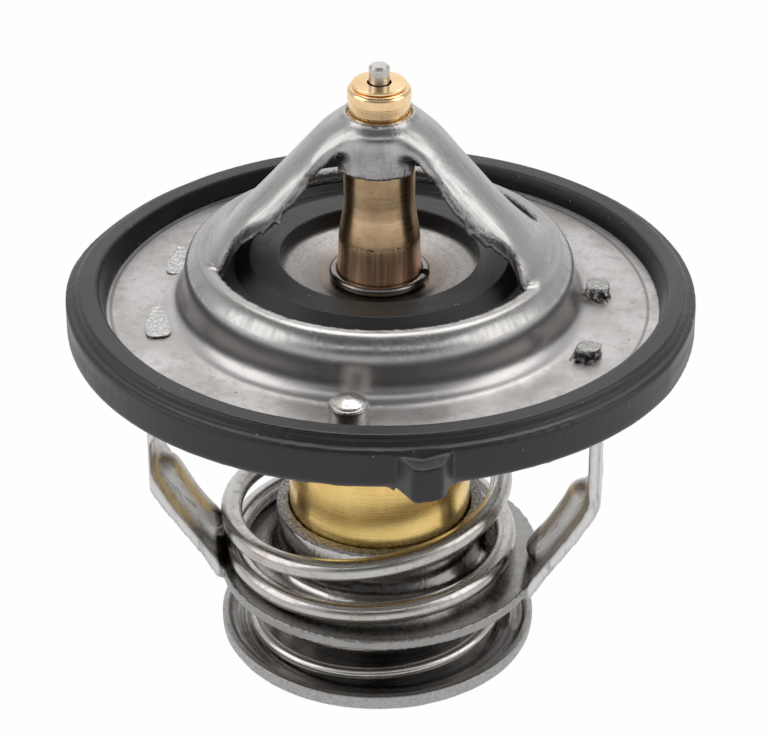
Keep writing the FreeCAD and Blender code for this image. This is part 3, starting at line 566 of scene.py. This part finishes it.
def value_noise(points, period, seed, octaves=3):
    """Seeded smooth noise from -1 to 1 at points in millimetres."""
    total = np.zeros(len(points))
    reach, size = 1.0, 0.0
    rows = np.random.default_rng(seed).uniform(-1, 1, NOISE_ROWS)
    for octave in range(octaves):
        scaled = points / period * 2 ** octave + 17.3 * octave
        corner = np.floor(scaled).astype(np.int64)
        share = ease(scaled - corner)
        layer = np.zeros(len(points))
        for step in range(8):
            offset = np.array([step & 1, step >> 1 & 1, step >> 2 & 1])
            key = (corner + offset) * NOISE_PRIMES
            index = np.bitwise_xor.reduce(key, axis=1) & (NOISE_ROWS - 1)
            weight = np.where(offset, share, 1 - share).prod(1)
            layer += rows[index] * weight
        total += layer * reach
        size += reach
        reach *= 0.5
    return total / size


def paint_edges(mesh, share):
    layer = mesh.attributes.new("edge", "FLOAT", "POINT")
    layer.data.foreach_set("value", np.clip(share, 0, 1).astype(np.float32))


def blunt_share(around, points, low, high, spread):
    """Where the surface bends sharply: 0 on flat metal, 1 on an edge."""
    bend = np.linalg.norm(around.mean(points) - points, axis=1)
    bend = around.smooth(bend, spread)
    return rise(bend, low, high - low)


def thin_out(piece, share):
    """Fewer faces where the surface is even."""
    fewer = piece.modifiers.new("fewer", "DECIMATE")
    fewer.ratio = share
    settle(piece)


def drawn_flange():
    """The flange, dome and bridge: drawn smooth, with torn metal where windows and arms were pierced."""
    top = FLANGE_TOP / MM
    low = top - SHEET
    wide, long = SLOT_HALF
    blocks = [((across - wide, along - long, low), (across + wide, along + long, top))
              for across in (SLOT_ACROSS, -SLOT_ACROSS) for along in SLOTS_ALONG]
    piece = fine_copy("flange_bridge", "flange_shell", voxel=0.24, blocks=blocks)
    mesh = piece.data
    around = Neighbours(mesh)
    points = points_of(mesh)
    height = points[:, 2] - top
    radius = radius_of(points)
    bend = blunt_share(around, around.fair(points, times=2), low=0.012, high=0.03, spread=1)
    shoulder = rise(radius, 17.5, 0.4) * fade(height, 6.9, 0.4)
    neck = fade(radius, 5.6, 0.4) * rise(height, 16.5, 0.4)
    pierced = bend * rise(height, 3.0, 1.5) * (1 - shoulder) * (1 - neck)
    points = around.fair(points, times=8, weight=1 - 0.6 * pierced)
    wall = rise(radius, 17.9, 0.8) * fade(radius, 23.2, 1.0) * fade(height, 6.6, 0.4)
    points = around.smooth_where(points, times=55, weight=wall)
    joint = fade(radius, 8.0, 1.0) * rise(height, 17.0, 0.8) * fade(height, 21.0, 0.5)
    points = around.smooth_where(points, times=25, weight=joint)
    set_points(mesh, points)
    normals = around.smooth(normals_of(mesh), times=2)
    tear = value_noise(points, period=0.9, seed=3) * 0.1
    tear = tear + value_noise(points, period=0.4, seed=4, octaves=2) * 0.05
    ripple = value_noise(points, period=5.0, seed=5, octaves=2) * 0.02 * rise(height, 1.0, 3.0)
    points = points + normals * (tear * pierced + ripple)[:, None]
    set_points(mesh, points)
    paint_edges(mesh, around.smooth(pierced, times=1))
    thin_out(piece, share=0.56)
    return piece


def moulded_gasket():
    """The rubber ring: crisp moulded steps, a nibbled flash line round its foot and a slumped front tab."""
    back_sink, back_shrink, right_shift, lip_radius = 0.36, 0.12, 0.35, 29.0
    piece = fine_copy("flange_gasket", "rubber_ring", voxel=0.24)
    mesh = piece.data
    around = Neighbours(mesh)
    points = around.fair(points_of(mesh), times=3)
    above = np.maximum(points[:, 2] - FLANGE_TOP / MM, 0)
    back = ease(rise(points[:, 1], -6, 20))
    points[:, 2] -= back_sink * back * above
    radius = radius_of(points)
    points[:, :2] *= (1 - back_shrink * back * np.maximum(radius - lip_radius, 0) / radius)[:, None]
    points[:, 0] += right_shift * (1 - rise(points[:, 0], 29.5, 2.5))
    radius = radius_of(points)
    turn = math.radians(TAB_ANGLE)
    aside = points[:, 0] * math.cos(turn) + points[:, 1] * math.sin(turn)
    out = points[:, 0] * math.sin(turn) - points[:, 1] * math.cos(turn)
    low = points[:, 2].min()
    ring_low = np.percentile(points[:, 2], 1)
    hanging = rise(out, 28.0, 0.5) * fade(np.abs(aside), 6.2, 0.5) * fade(points[:, 2], ring_low + 0.2, 0.3)
    tab = np.maximum(rise(out, 31.7, 0.5), hanging)
    height = points[:, 2] - low
    points[:, 2] += tab * (0.75 + 0.06 * aside ** 2) * np.clip(1 - height / 2.4, 0, 1)
    points[:, 2] -= tab * 0.35 * rise(height, 3.0, 1.5) * (1 - rise(np.abs(aside), 0.0, 2.2))
    points = around.fair(points, times=12, weight=tab * 0.9)
    set_points(mesh, points)
    normals = around.smooth(normals_of(mesh), times=2)
    foot = np.clip(1 - (points[:, 2] - ring_low) / 0.9, 0, 1) * rise(radius, lip_radius, 1.5)
    foot *= (1 - tab) * np.clip((np.abs(aside) - 5.5) / 1.5 - np.minimum(out, 0), 0, 1)
    nibble = value_noise(points, period=1.2, seed=8) * 0.16 * foot
    soft = value_noise(points, period=9.0, seed=9, octaves=2) * 0.05
    soft = soft + value_noise(points, period=2.4, seed=10, octaves=2) * 0.06 * tab
    set_points(mesh, points + normals * (nibble + soft)[:, None])
    return piece


def pressed_frame():
    """The lower frame: pressed from sheet, with blunt sheared edges."""
    arm_middle, dent_half, left_out, right_out = -2.4, 2.2, 1.0, 0.45
    piece = fine_copy("lower_frame", "pressed_frame", voxel=0.25)
    mesh = piece.data
    around = Neighbours(mesh)
    points = points_of(mesh)
    bend = blunt_share(around, around.fair(points, times=2), low=0.008, high=0.028, spread=1)
    points = around.fair(points, times=6)
    height = points[:, 2] - FLANGE_TOP / MM
    collar = fade(radius_of(points), 13.6, 0.5) * fade(height, -24.5, 0.4)
    points = around.fair(points, times=40, weight=collar)
    slanted = rise(np.abs(points[:, 0]), 16.8, 0.8) * fade(height, -14.0, 1.5)
    inside = 1 - rise(np.abs(points[:, 1] - arm_middle), dent_half, 1.0)
    points = around.smooth_where(points, times=22, weight=slanted * inside)
    left, right = fade(points[:, 0], -15.0, 2.0), rise(points[:, 0], 15.0, 2.0)
    points[:, 0] -= left_out * left * fade(height, -14.0, 1.6) * rise(height, -29.0, 6.0)
    points[:, 0] += right_out * right * fade(height, -18.0, 3.0) * rise(height, -29.0, 5.0)
    set_points(mesh, points)
    normals = around.smooth(normals_of(mesh), times=3)
    rough = value_noise(points, period=0.7, seed=12) * 0.03 * bend
    rough = rough + value_noise(points, period=4.0, seed=13, octaves=2) * 0.025
    points = points + normals * rough[:, None]
    points[:, 2] = np.minimum(points[:, 2], FLANGE_TOP / MM - 0.05)
    set_points(mesh, points)
    paint_edges(mesh, bend)
    return piece


def mesh_piece(name, points, faces, smooth=True):
    mesh = bpy.data.meshes.new(name)
    mesh.from_pydata((points * MM).tolist(), [], faces)
    mesh.update()
    if smooth:
        mesh.polygons.foreach_set("use_smooth", [True] * len(mesh.polygons))
    return placed(name, mesh)


def tube_faces(rows, steps):
    """Faces between rows of points round a tube, and one over each of its ends."""
    faces = [tuple(range(steps)), tuple(range((rows - 1) * steps, rows * steps))[::-1]]
    for row in range(rows - 1):
        for step in range(steps):
            here, beside = row * steps + step, row * steps + (step + 1) % steps
            faces.append((here, here + steps, beside + steps, beside))
    return faces


def peened_head(name, centre, half_sizes, turn, taper, height, slump, seed):
    """The hammered end of a frame tab above the flange: a lump with a grainy top and a broken side."""
    rings, steps, flat_share = 26, 72, 0.8
    angle = np.linspace(0, 2 * np.pi, steps, endpoint=False)
    across, along = np.cos(angle), np.sin(angle)
    square = (np.abs(across) ** 3.2 + np.abs(along) ** 3.2) ** (-1 / 3.2)
    across, along = across * square, along * square
    across = across * half_sizes[0] * (1 - taper * along)
    along = along * half_sizes[1]
    outline = np.stack((across * math.cos(turn) - along * math.sin(turn),
                        across * math.sin(turn) + along * math.cos(turn)), 1)
    ragged = value_noise(np.c_[outline, np.zeros(steps)], period=0.9, seed=seed) * 0.12
    outline *= (1 + ragged / np.hypot(*outline.T))[:, None]
    fall = np.array(slump, float)
    facing = np.clip(outline @ fall / max(np.hypot(*fall), 0.01) / max(half_sizes), 0, 1)[:, None]
    share = np.linspace(0.03, 1, rings)
    points = []
    for part in share:
        wall = max(part - flat_share, 0) / (1 - flat_share)
        level = FLANGE_TOP / MM + height - wall * (height + 0.15)
        flat = outline * min(part / flat_share, 1.0) + facing * fall * wall
        points.append(np.c_[flat + np.array(centre), np.full(steps, level)])
    points = np.concatenate(points)
    share = np.repeat(share, steps)
    points[:, 2] += value_noise(points, period=0.34, seed=seed + 1, octaves=2) * 0.05 * (share < 0.97)
    chips = value_noise(points, period=0.8, seed=seed + 2, octaves=2) * min(height, 1.0) * 0.35
    chips = chips * rise(share, 0.72, 0.15)
    away = points[:, :2] - np.array(centre)
    points[:, :2] += away / np.maximum(np.hypot(*away.T), 0.2)[:, None] * chips[:, None]
    return mesh_piece(name, points, tube_faces(rings, steps), smooth=False)


def rounded_outline(corners, steps=5):
    """Points along a closed outline of (radius, height, round), each corner rounded off."""
    corners = [np.array(corner, float) for corner in corners]
    line = []
    for index, corner in enumerate(corners):
        here, size = corner[:2], corner[2]
        before, after = corners[index - 1][:2], corners[(index + 1) % len(corners)][:2]
        start = here + (before - here) / np.linalg.norm(before - here) * size
        end = here + (after - here) / np.linalg.norm(after - here) * size
        if size == 0:
            line.append(here)
            continue
        for share in np.linspace(0, 1, steps):
            line.append((1 - share) ** 2 * start + 2 * share * (1 - share) * here + share ** 2 * end)
    return np.array(line)


def fill_in(line, longest):
    """Adds points so that no step of a closed outline is longer than this."""
    full = []
    for here, there in zip(line, np.roll(line, -1, axis=0)):
        parts = max(1, math.ceil(np.linalg.norm(there - here) / longest))
        full += [here + (there - here) * k / parts for k in range(parts)]
    return np.array(full)


def turned_piece(name, line, steps, wobble, seed, centre=(0.0, 0.0)):
    """A closed outline (radius, height) turned once about an upright axis, a little out of true."""
    angle = np.linspace(0, 2 * np.pi, steps, endpoint=False)
    ring = np.stack((np.cos(angle), np.sin(angle)), 1)
    points = np.concatenate([np.c_[radius * ring, np.full(steps, height)] for radius, height in line])
    shift = value_noise(points, period=2.2, seed=seed) * wobble
    points[:, :2] *= (1 + shift / np.maximum(radius_of(points), 1.0))[:, None]
    points[:, 2] += value_noise(points, period=2.6, seed=seed + 1) * wobble
    points[:, 0] += centre[0]
    points[:, 1] += centre[1]
    points[:, 2] += FLANGE_TOP / MM
    faces = []
    for row in range(len(line)):
        here, under = row * steps, (row + 1) % len(line) * steps
        for step in range(steps):
            beside = (step + 1) % steps
            faces.append((here + step, here + beside, under + beside, under + step))
    return mesh_piece(name, points, faces)


def dished_disc():
    """The bypass disc: a thin upright lip round a dished floor with a drawn hub."""
    line = rounded_outline([
        (DISC_HOLE, DISC_HUB_TOP, 0), (DISC_HUB, DISC_HUB_TOP, 1.0), (DISC_HUB_FOOT, DISC_FLOOR, 1.2),
        (DISC_FLOOR_EDGE, DISC_FLOOR, 0.7), (DISC_FLOOR_EDGE + 0.5, DISC_LIP_TOP, 0.12),
        (DISC_RIM, DISC_LIP_TOP, 0.15), (DISC_RIM, DISC_BOTTOM, 1.0), (DISC_HUB_FOOT, DISC_BOTTOM, 1.2),
        (DISC_HUB, DISC_HUB_UNDER, 1.0), (DISC_HOLE, DISC_HUB_UNDER, 0)])
    piece = turned_piece("dished_disc", fill_in(line, longest=0.45), steps=300, wobble=0.05, seed=41)
    points = points_of(piece.data)
    points[:, 0] -= 0.25 * rise(radius_of(points), DISC_HUB_FOOT, 6.0)
    set_points(piece.data, points)
    return piece


def pin_head():
    """The jiggle pin: a low cone with a blunt tip on a short round head."""
    line = rounded_outline([
        (0.02, PIN_TIP, 0), (0.5, 2.6, 0.15), (1.7, 2.2, 0.25), (PIN_HEAD, 1.85, 0.2), (PIN_HEAD, 0.0, 0.1),
        (PIN_SHANK, 0.0, 0), (PIN_SHANK, PIN_BOTTOM, 0), (0.02, PIN_BOTTOM, 0)])
    line = fill_in(line, longest=0.16)
    return turned_piece("pin_head", line, steps=96, wobble=0.03, seed=43, centre=PIN_CENTRE)


def wound_wire(name, wire, start_angle, levels, seed):
    """Spring wire through (radius, height, shift along X), one for each half turn, with cut ends."""
    halves, along, around = len(levels) - 1, 64, 28
    levels = np.array(levels, float)
    share = np.linspace(0, halves, halves * along + 1)
    index = np.minimum(share.astype(int), halves - 1)
    part = (share - index)[:, None]
    level = levels[index] + (levels[index + 1] - levels[index]) * ((1 - np.cos(np.pi * part)) / 2)
    angle = math.radians(start_angle) + np.pi * share
    path = np.stack((level[:, 0] * np.cos(angle) + level[:, 2], level[:, 0] * np.sin(angle),
                     level[:, 1] + FLANGE_TOP / MM), 1)
    ahead = np.gradient(path, axis=0)
    ahead /= np.linalg.norm(ahead, axis=1)[:, None]
    out = np.stack((np.cos(angle), np.sin(angle), np.zeros(len(angle))), 1)
    out -= ahead * (out * ahead).sum(1)[:, None]
    out /= np.linalg.norm(out, axis=1)[:, None]
    up = np.cross(ahead, out)
    turn = np.linspace(0, 2 * np.pi, around, endpoint=False)
    size = wire * (1 + 0.012 * value_noise(path, period=3.0, seed=seed))
    points = (path[:, None, :] + size[:, None, None] * (np.cos(turn)[None, :, None] * out[:, None, :]
                                                        + np.sin(turn)[None, :, None] * up[:, None, :]))
    return mesh_piece(name, points.reshape(-1, 3), tube_faces(len(path), around))


def main_spring():
    """The main spring with closed ends; its upper turns rise steeply out of sight behind the ring."""
    heights = (-29.43, -29.35, -28.5, -25.3, -21.5, -12.8, -8.0, -4.6, -0.38, 1.72, 1.8)
    shifts = (-0.9, -0.9, -0.9, -1.4, -1.5, -1.3, -0.9, -0.9, -0.9, -0.9, -0.9)
    levels = [(SPRING_RADIUS, height, shift) for height, shift in zip(heights, shifts)]
    return wound_wire("spring_wire", SPRING_WIRE, start_angle=8.0, levels=levels, seed=51)


def keep_in_box(piece, node_name):
    """No point leaves the box of the node; spring and disc may stand a little aside of it."""
    low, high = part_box(node_name)
    if node_name in ("main_spring", "bypass_disc"):
        low, high = (cad_low[0], cad_low[1], low[2]), (cad_high[0], cad_high[1], high[2])
    set_points(piece.data, np.clip(points_of(piece.data), np.array(low) / MM, np.array(high) / MM))


def dress(piece, node_name, material, body="housing", far_body=None):
    """Finishes a piece and hangs it on its body; a spring between two bodies is left where it stands, on
    neither of them.
    """
    keep_in_box(piece, node_name)
    piece.data.materials.clear()
    piece.data.materials.append(material)
    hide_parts(node_name)
    if far_body is None:
        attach(piece, body)
    else:
        heights = points_of(piece.data)[:, 2] * MM
        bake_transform(piece)


def cone_spring():
    """The conical spring of the bypass valve, as its own piece."""
    return placed("cone_spring", nodes["bypass_spring"].data.copy())


dress(drawn_flange(), "flange_bridge", flange_steel())
dress(moulded_gasket(), "flange_gasket", rubber("ring_rubber", gloss=0.3, matt_radius=28.3))
dress(pressed_frame(), "lower_frame", frame_steel())
SPRING = metal("spring_steel", (0.56, 0.545, 0.53), gloss=0.15, depth=0.003, tint=(0.5, 0.45, 0.4), waves=0.006)
dress(main_spring(), "main_spring", SPRING, "housing", "valve")
SMALL_SPRING = metal("small_spring_steel", (0.64, 0.62, 0.6), gloss=0.14, depth=0.003, waves=0.006)
dress(cone_spring(), "bypass_spring", SMALL_SPRING, "valve", "bypass")
dress(dished_disc(), "bypass_disc", disc_steel(), "bypass")
dress(pin_head(), "jiggle_pin", metal("pin_steel", (0.56, 0.55, 0.54), gloss=0.22, grain=2.0, depth=0.02),
      "jiggle")

HEAD_STEEL = smeared_steel("head_steel", (0.62, 0.61, 0.6), top=0.14)
STUB_STEEL = smeared_steel("stub_steel", (0.42, 0.41, 0.4), top=0.98)
# Tab ends: name, middle, half sizes, turn, taper, height, slump to one side, seed and material
HEADS = (
    ("left_back_head", (-21.6, 5.5), (1.1, 3.1), 0.1, 0.42, 0.22, (0.0, -0.1), 31, HEAD_STEEL),
    ("left_front_head", (-21.45, -7.5), (1.1, 3.1), 0.22, 0.42, 0.26, (0.0, -0.1), 32, HEAD_STEEL),
    ("right_back_head", (21.8, 3.8), (1.1, 1.15), 0.1, 0.05, 1.25, (0.3, -0.9), 33, STUB_STEEL),
    ("right_front_head", (21.75, -8.7), (1.15, 1.05), -0.15, -0.1, 1.15, (-0.7, -0.8), 34, STUB_STEEL),
)
for *head, steel in HEADS:
    lump = peened_head(*head)
    lump.data.materials.append(steel)
    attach(lump, "housing")

MATERIALS = {
    "valve_seal": rubber("seal_rubber", gloss=0.36, matt_radius=5.0),
    "adjusting_cap": turned_brass("cap_brass", (0.98, 0.71, 0.41), (0.86, 0.6, 0.33), gloss=0.12,
                                  line_depth=0.003),
    "piston": metal("piston_steel", (0.62, 0.61, 0.59), gloss=0.25, around=(0.6, 6)),
    "guide_stem": stem_brass(),
    "wax_cup": turned_brass("cup_brass", (1.0, 0.72, 0.28), (0.9, 0.63, 0.22), gloss=0.2, line_depth=0.005,
                            grey_below=-31.0),
    "valve_plate": valve_plate_steel(),
    "wax_fill": rubber("wax", gloss=0.4, matt_radius=0.5),
    "rubber_boot": rubber("boot_rubber", gloss=0.5, matt_radius=0.5),
    "snap_ring": metal("snap_steel", (0.3, 0.28, 0.27), gloss=0.14, depth=0.003, tint=(0.24, 0.2, 0.17),
                       waves=0.004),
    "bypass_spring": SMALL_SPRING,
}
for name, node in nodes.items():
    node.data.materials.clear()
    node.data.materials.append(MATERIALS.get(name, SPRING))


# Floor, light and camera

FLOOR_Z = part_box("bypass_disc")[0].z


def seen_share(tree, camera_share, glossy_share):
    """A number that is camera_share for camera rays, glossy_share for reflections and 0 for light."""
    path = tree.nodes.new("ShaderNodeLightPath")
    sockets = []
    for output, share in (("Is Camera Ray", camera_share), ("Is Glossy Ray", glossy_share)):
        scale = tree.nodes.new("ShaderNodeMath")
        scale.operation = "MULTIPLY"
        scale.inputs[1].default_value = share
        tree.links.new(path.outputs[output], scale.inputs[0])
        sockets.append(scale.outputs[0])
    total = tree.nodes.new("ShaderNodeMath")
    total.operation = "ADD"
    for socket, entry in zip(sockets, total.inputs):
        tree.links.new(socket, entry)
    return total.outputs[0]


def floor():
    bpy.ops.mesh.primitive_plane_add(size=6.0, location=(0, 0, FLOOR_Z))
    plane = bpy.context.object
    plane.name = "studio_floor"
    material = bpy.data.materials.new("studio_floor")
    material.use_nodes = True
    tree = material.node_tree
    shader = tree.nodes["Principled BSDF"]
    shader.inputs["Base Color"].default_value = (0.9, 0.9, 0.9, 1)
    shader.inputs["Roughness"].default_value = 0.9
    shader.inputs["Specular IOR Level"].default_value = 0.0
    glow = tree.nodes.new("ShaderNodeEmission")
    mix = tree.nodes.new("ShaderNodeMixShader")
    tree.links.new(seen_share(tree, camera_share=0.98, glossy_share=0.78), mix.inputs[0])
    tree.links.new(shader.outputs[0], mix.inputs[1])
    tree.links.new(glow.outputs[0], mix.inputs[2])
    tree.links.new(mix.outputs[0], tree.nodes["Material Output"].inputs["Surface"])
    plane.data.materials.append(material)


def area_lamp(name, place, size, watts, target=(0, 0, 0)):
    light = bpy.data.lights.new(name, "AREA")
    light.shape = "RECTANGLE"
    light.size, light.size_y = size
    light.energy = watts
    lamp = placed(name, light)
    lamp.location = place
    lamp.rotation_euler = (Vector(target) - Vector(place)).to_track_quat("-Z", "Y").to_euler()


# Brightness of the room in reflections, from below behind the part, over the top, to below the camera
ROOM = ((0.0, 1.0), (0.36, 1.0), (0.41, 0.3), (0.5, 0.14), (0.575, 0.12), (0.597, 0.85), (0.622, 0.85),
        (0.64, 0.1), (0.68, 0.1), (0.72, 0.45), (0.78, 0.9), (1.0, 1.0))
CAMERA_AZIMUTH = math.radians(7.0)


def world(light_strength, side_brightness):
    """White to the camera and soft to the light; reflections see a studio with a dark side and strips."""
    studio = bpy.data.worlds.new("studio")
    bpy.context.scene.world = studio
    studio.use_nodes = True
    tree = studio.node_tree
    background = tree.nodes["Background"]
    background.inputs["Color"].default_value = (1, 1, 1, 1)

    def step(kind, *values, operation=None):
        node = tree.nodes.new(kind)
        if operation is not None:
            node.operation = operation
        sockets = [node.inputs[i] for i in (0, 2, 3)] if kind == "ShaderNodeMix" else node.inputs
        for socket, value in zip(sockets, values):
            if isinstance(value, bpy.types.NodeSocket):
                tree.links.new(value, socket)
            else:
                socket.default_value = value
        return node.outputs

    way = tree.nodes.new("ShaderNodeTexCoord").outputs["Generated"]
    front = (math.sin(CAMERA_AZIMUTH), -math.cos(CAMERA_AZIMUTH), 0)
    right = (math.cos(CAMERA_AZIMUTH), math.sin(CAMERA_AZIMUTH), 0)
    forward = step("ShaderNodeVectorMath", way, front, operation="DOT_PRODUCT")["Value"]
    aside = step("ShaderNodeVectorMath", way, right, operation="DOT_PRODUCT")["Value"]
    up = step("ShaderNodeSeparateXYZ", way)[2]
    tilt = step("ShaderNodeMath", forward, up, operation="ARCTAN2")[0]
    place = step("ShaderNodeMath", tilt, 0.5 / math.pi, 0.5, operation="MULTIPLY_ADD")[0]
    ramp = tree.nodes.new("ShaderNodeValToRGB")
    tree.links.new(place, ramp.inputs[0])
    stops = ramp.color_ramp.elements
    while len(stops) < len(ROOM):
        stops.new(0.5)
    for stop, (where, brightness) in zip(stops, ROOM):
        stop.position = where
        stop.color = (brightness, brightness, brightness, 1)
    beside = tree.nodes.new("ShaderNodeMapRange")
    beside.interpolation_type = "SMOOTHSTEP"
    for socket, value in zip(beside.inputs[1:5], (0.4, 0.7, 0.0, 1.0)):
        socket.default_value = value
    tree.links.new(step("ShaderNodeMath", aside, operation="ABSOLUTE")[0], beside.inputs["Value"])
    reflected = step("ShaderNodeMix", beside.outputs[0], ramp.outputs[0], side_brightness)[0]
    path = tree.nodes.new("ShaderNodeLightPath").outputs
    lit = step("ShaderNodeMix", path["Is Glossy Ray"], light_strength, reflected)[0]
    shown = step("ShaderNodeMix", path["Is Camera Ray"], lit, 1.0)[0]
    tree.links.new(shown, background.inputs["Strength"])


def camera():
    azimuth, elevation = CAMERA_AZIMUTH, math.radians(30.87)
    distance, focal_pixels, picture_width = 0.3, 2914.3, 768
    aside, under_flange = 0.00046, 0.008205
    right = Vector((math.cos(azimuth), math.sin(azimuth), 0))
    back = Vector((math.sin(azimuth) * math.cos(elevation), -math.cos(azimuth) * math.cos(elevation),
                   math.sin(elevation)))
    target = right * aside + Vector((0, 0, FLANGE_TOP - under_flange))
    data = bpy.data.cameras.new("photo_camera")
    data.sensor_width = 36.0
    data.lens = focal_pixels / picture_width * data.sensor_width
    data.clip_start, data.clip_end = 0.01, 20.0
    view = placed("photo_camera", data)
    view.location = target + back * distance
    view.rotation_euler = (-back).to_track_quat("-Z", "Y").to_euler()
    bpy.context.scene.camera = view


floor()
area_lamp("left_softbox", place=(-0.32, -0.1, 0.2), size=(0.3, 0.34), watts=0.34)
area_lamp("right_softbox", place=(0.32, -0.04, 0.2), size=(0.26, 0.34), watts=0.32)
area_lamp("top_softbox", place=(0.0, 0.2, 0.38), size=(0.34, 0.2), watts=0.6)
world(light_strength=0.2, side_brightness=0.6)
camera()
bpy.context.scene.view_settings.view_transform = "Standard"
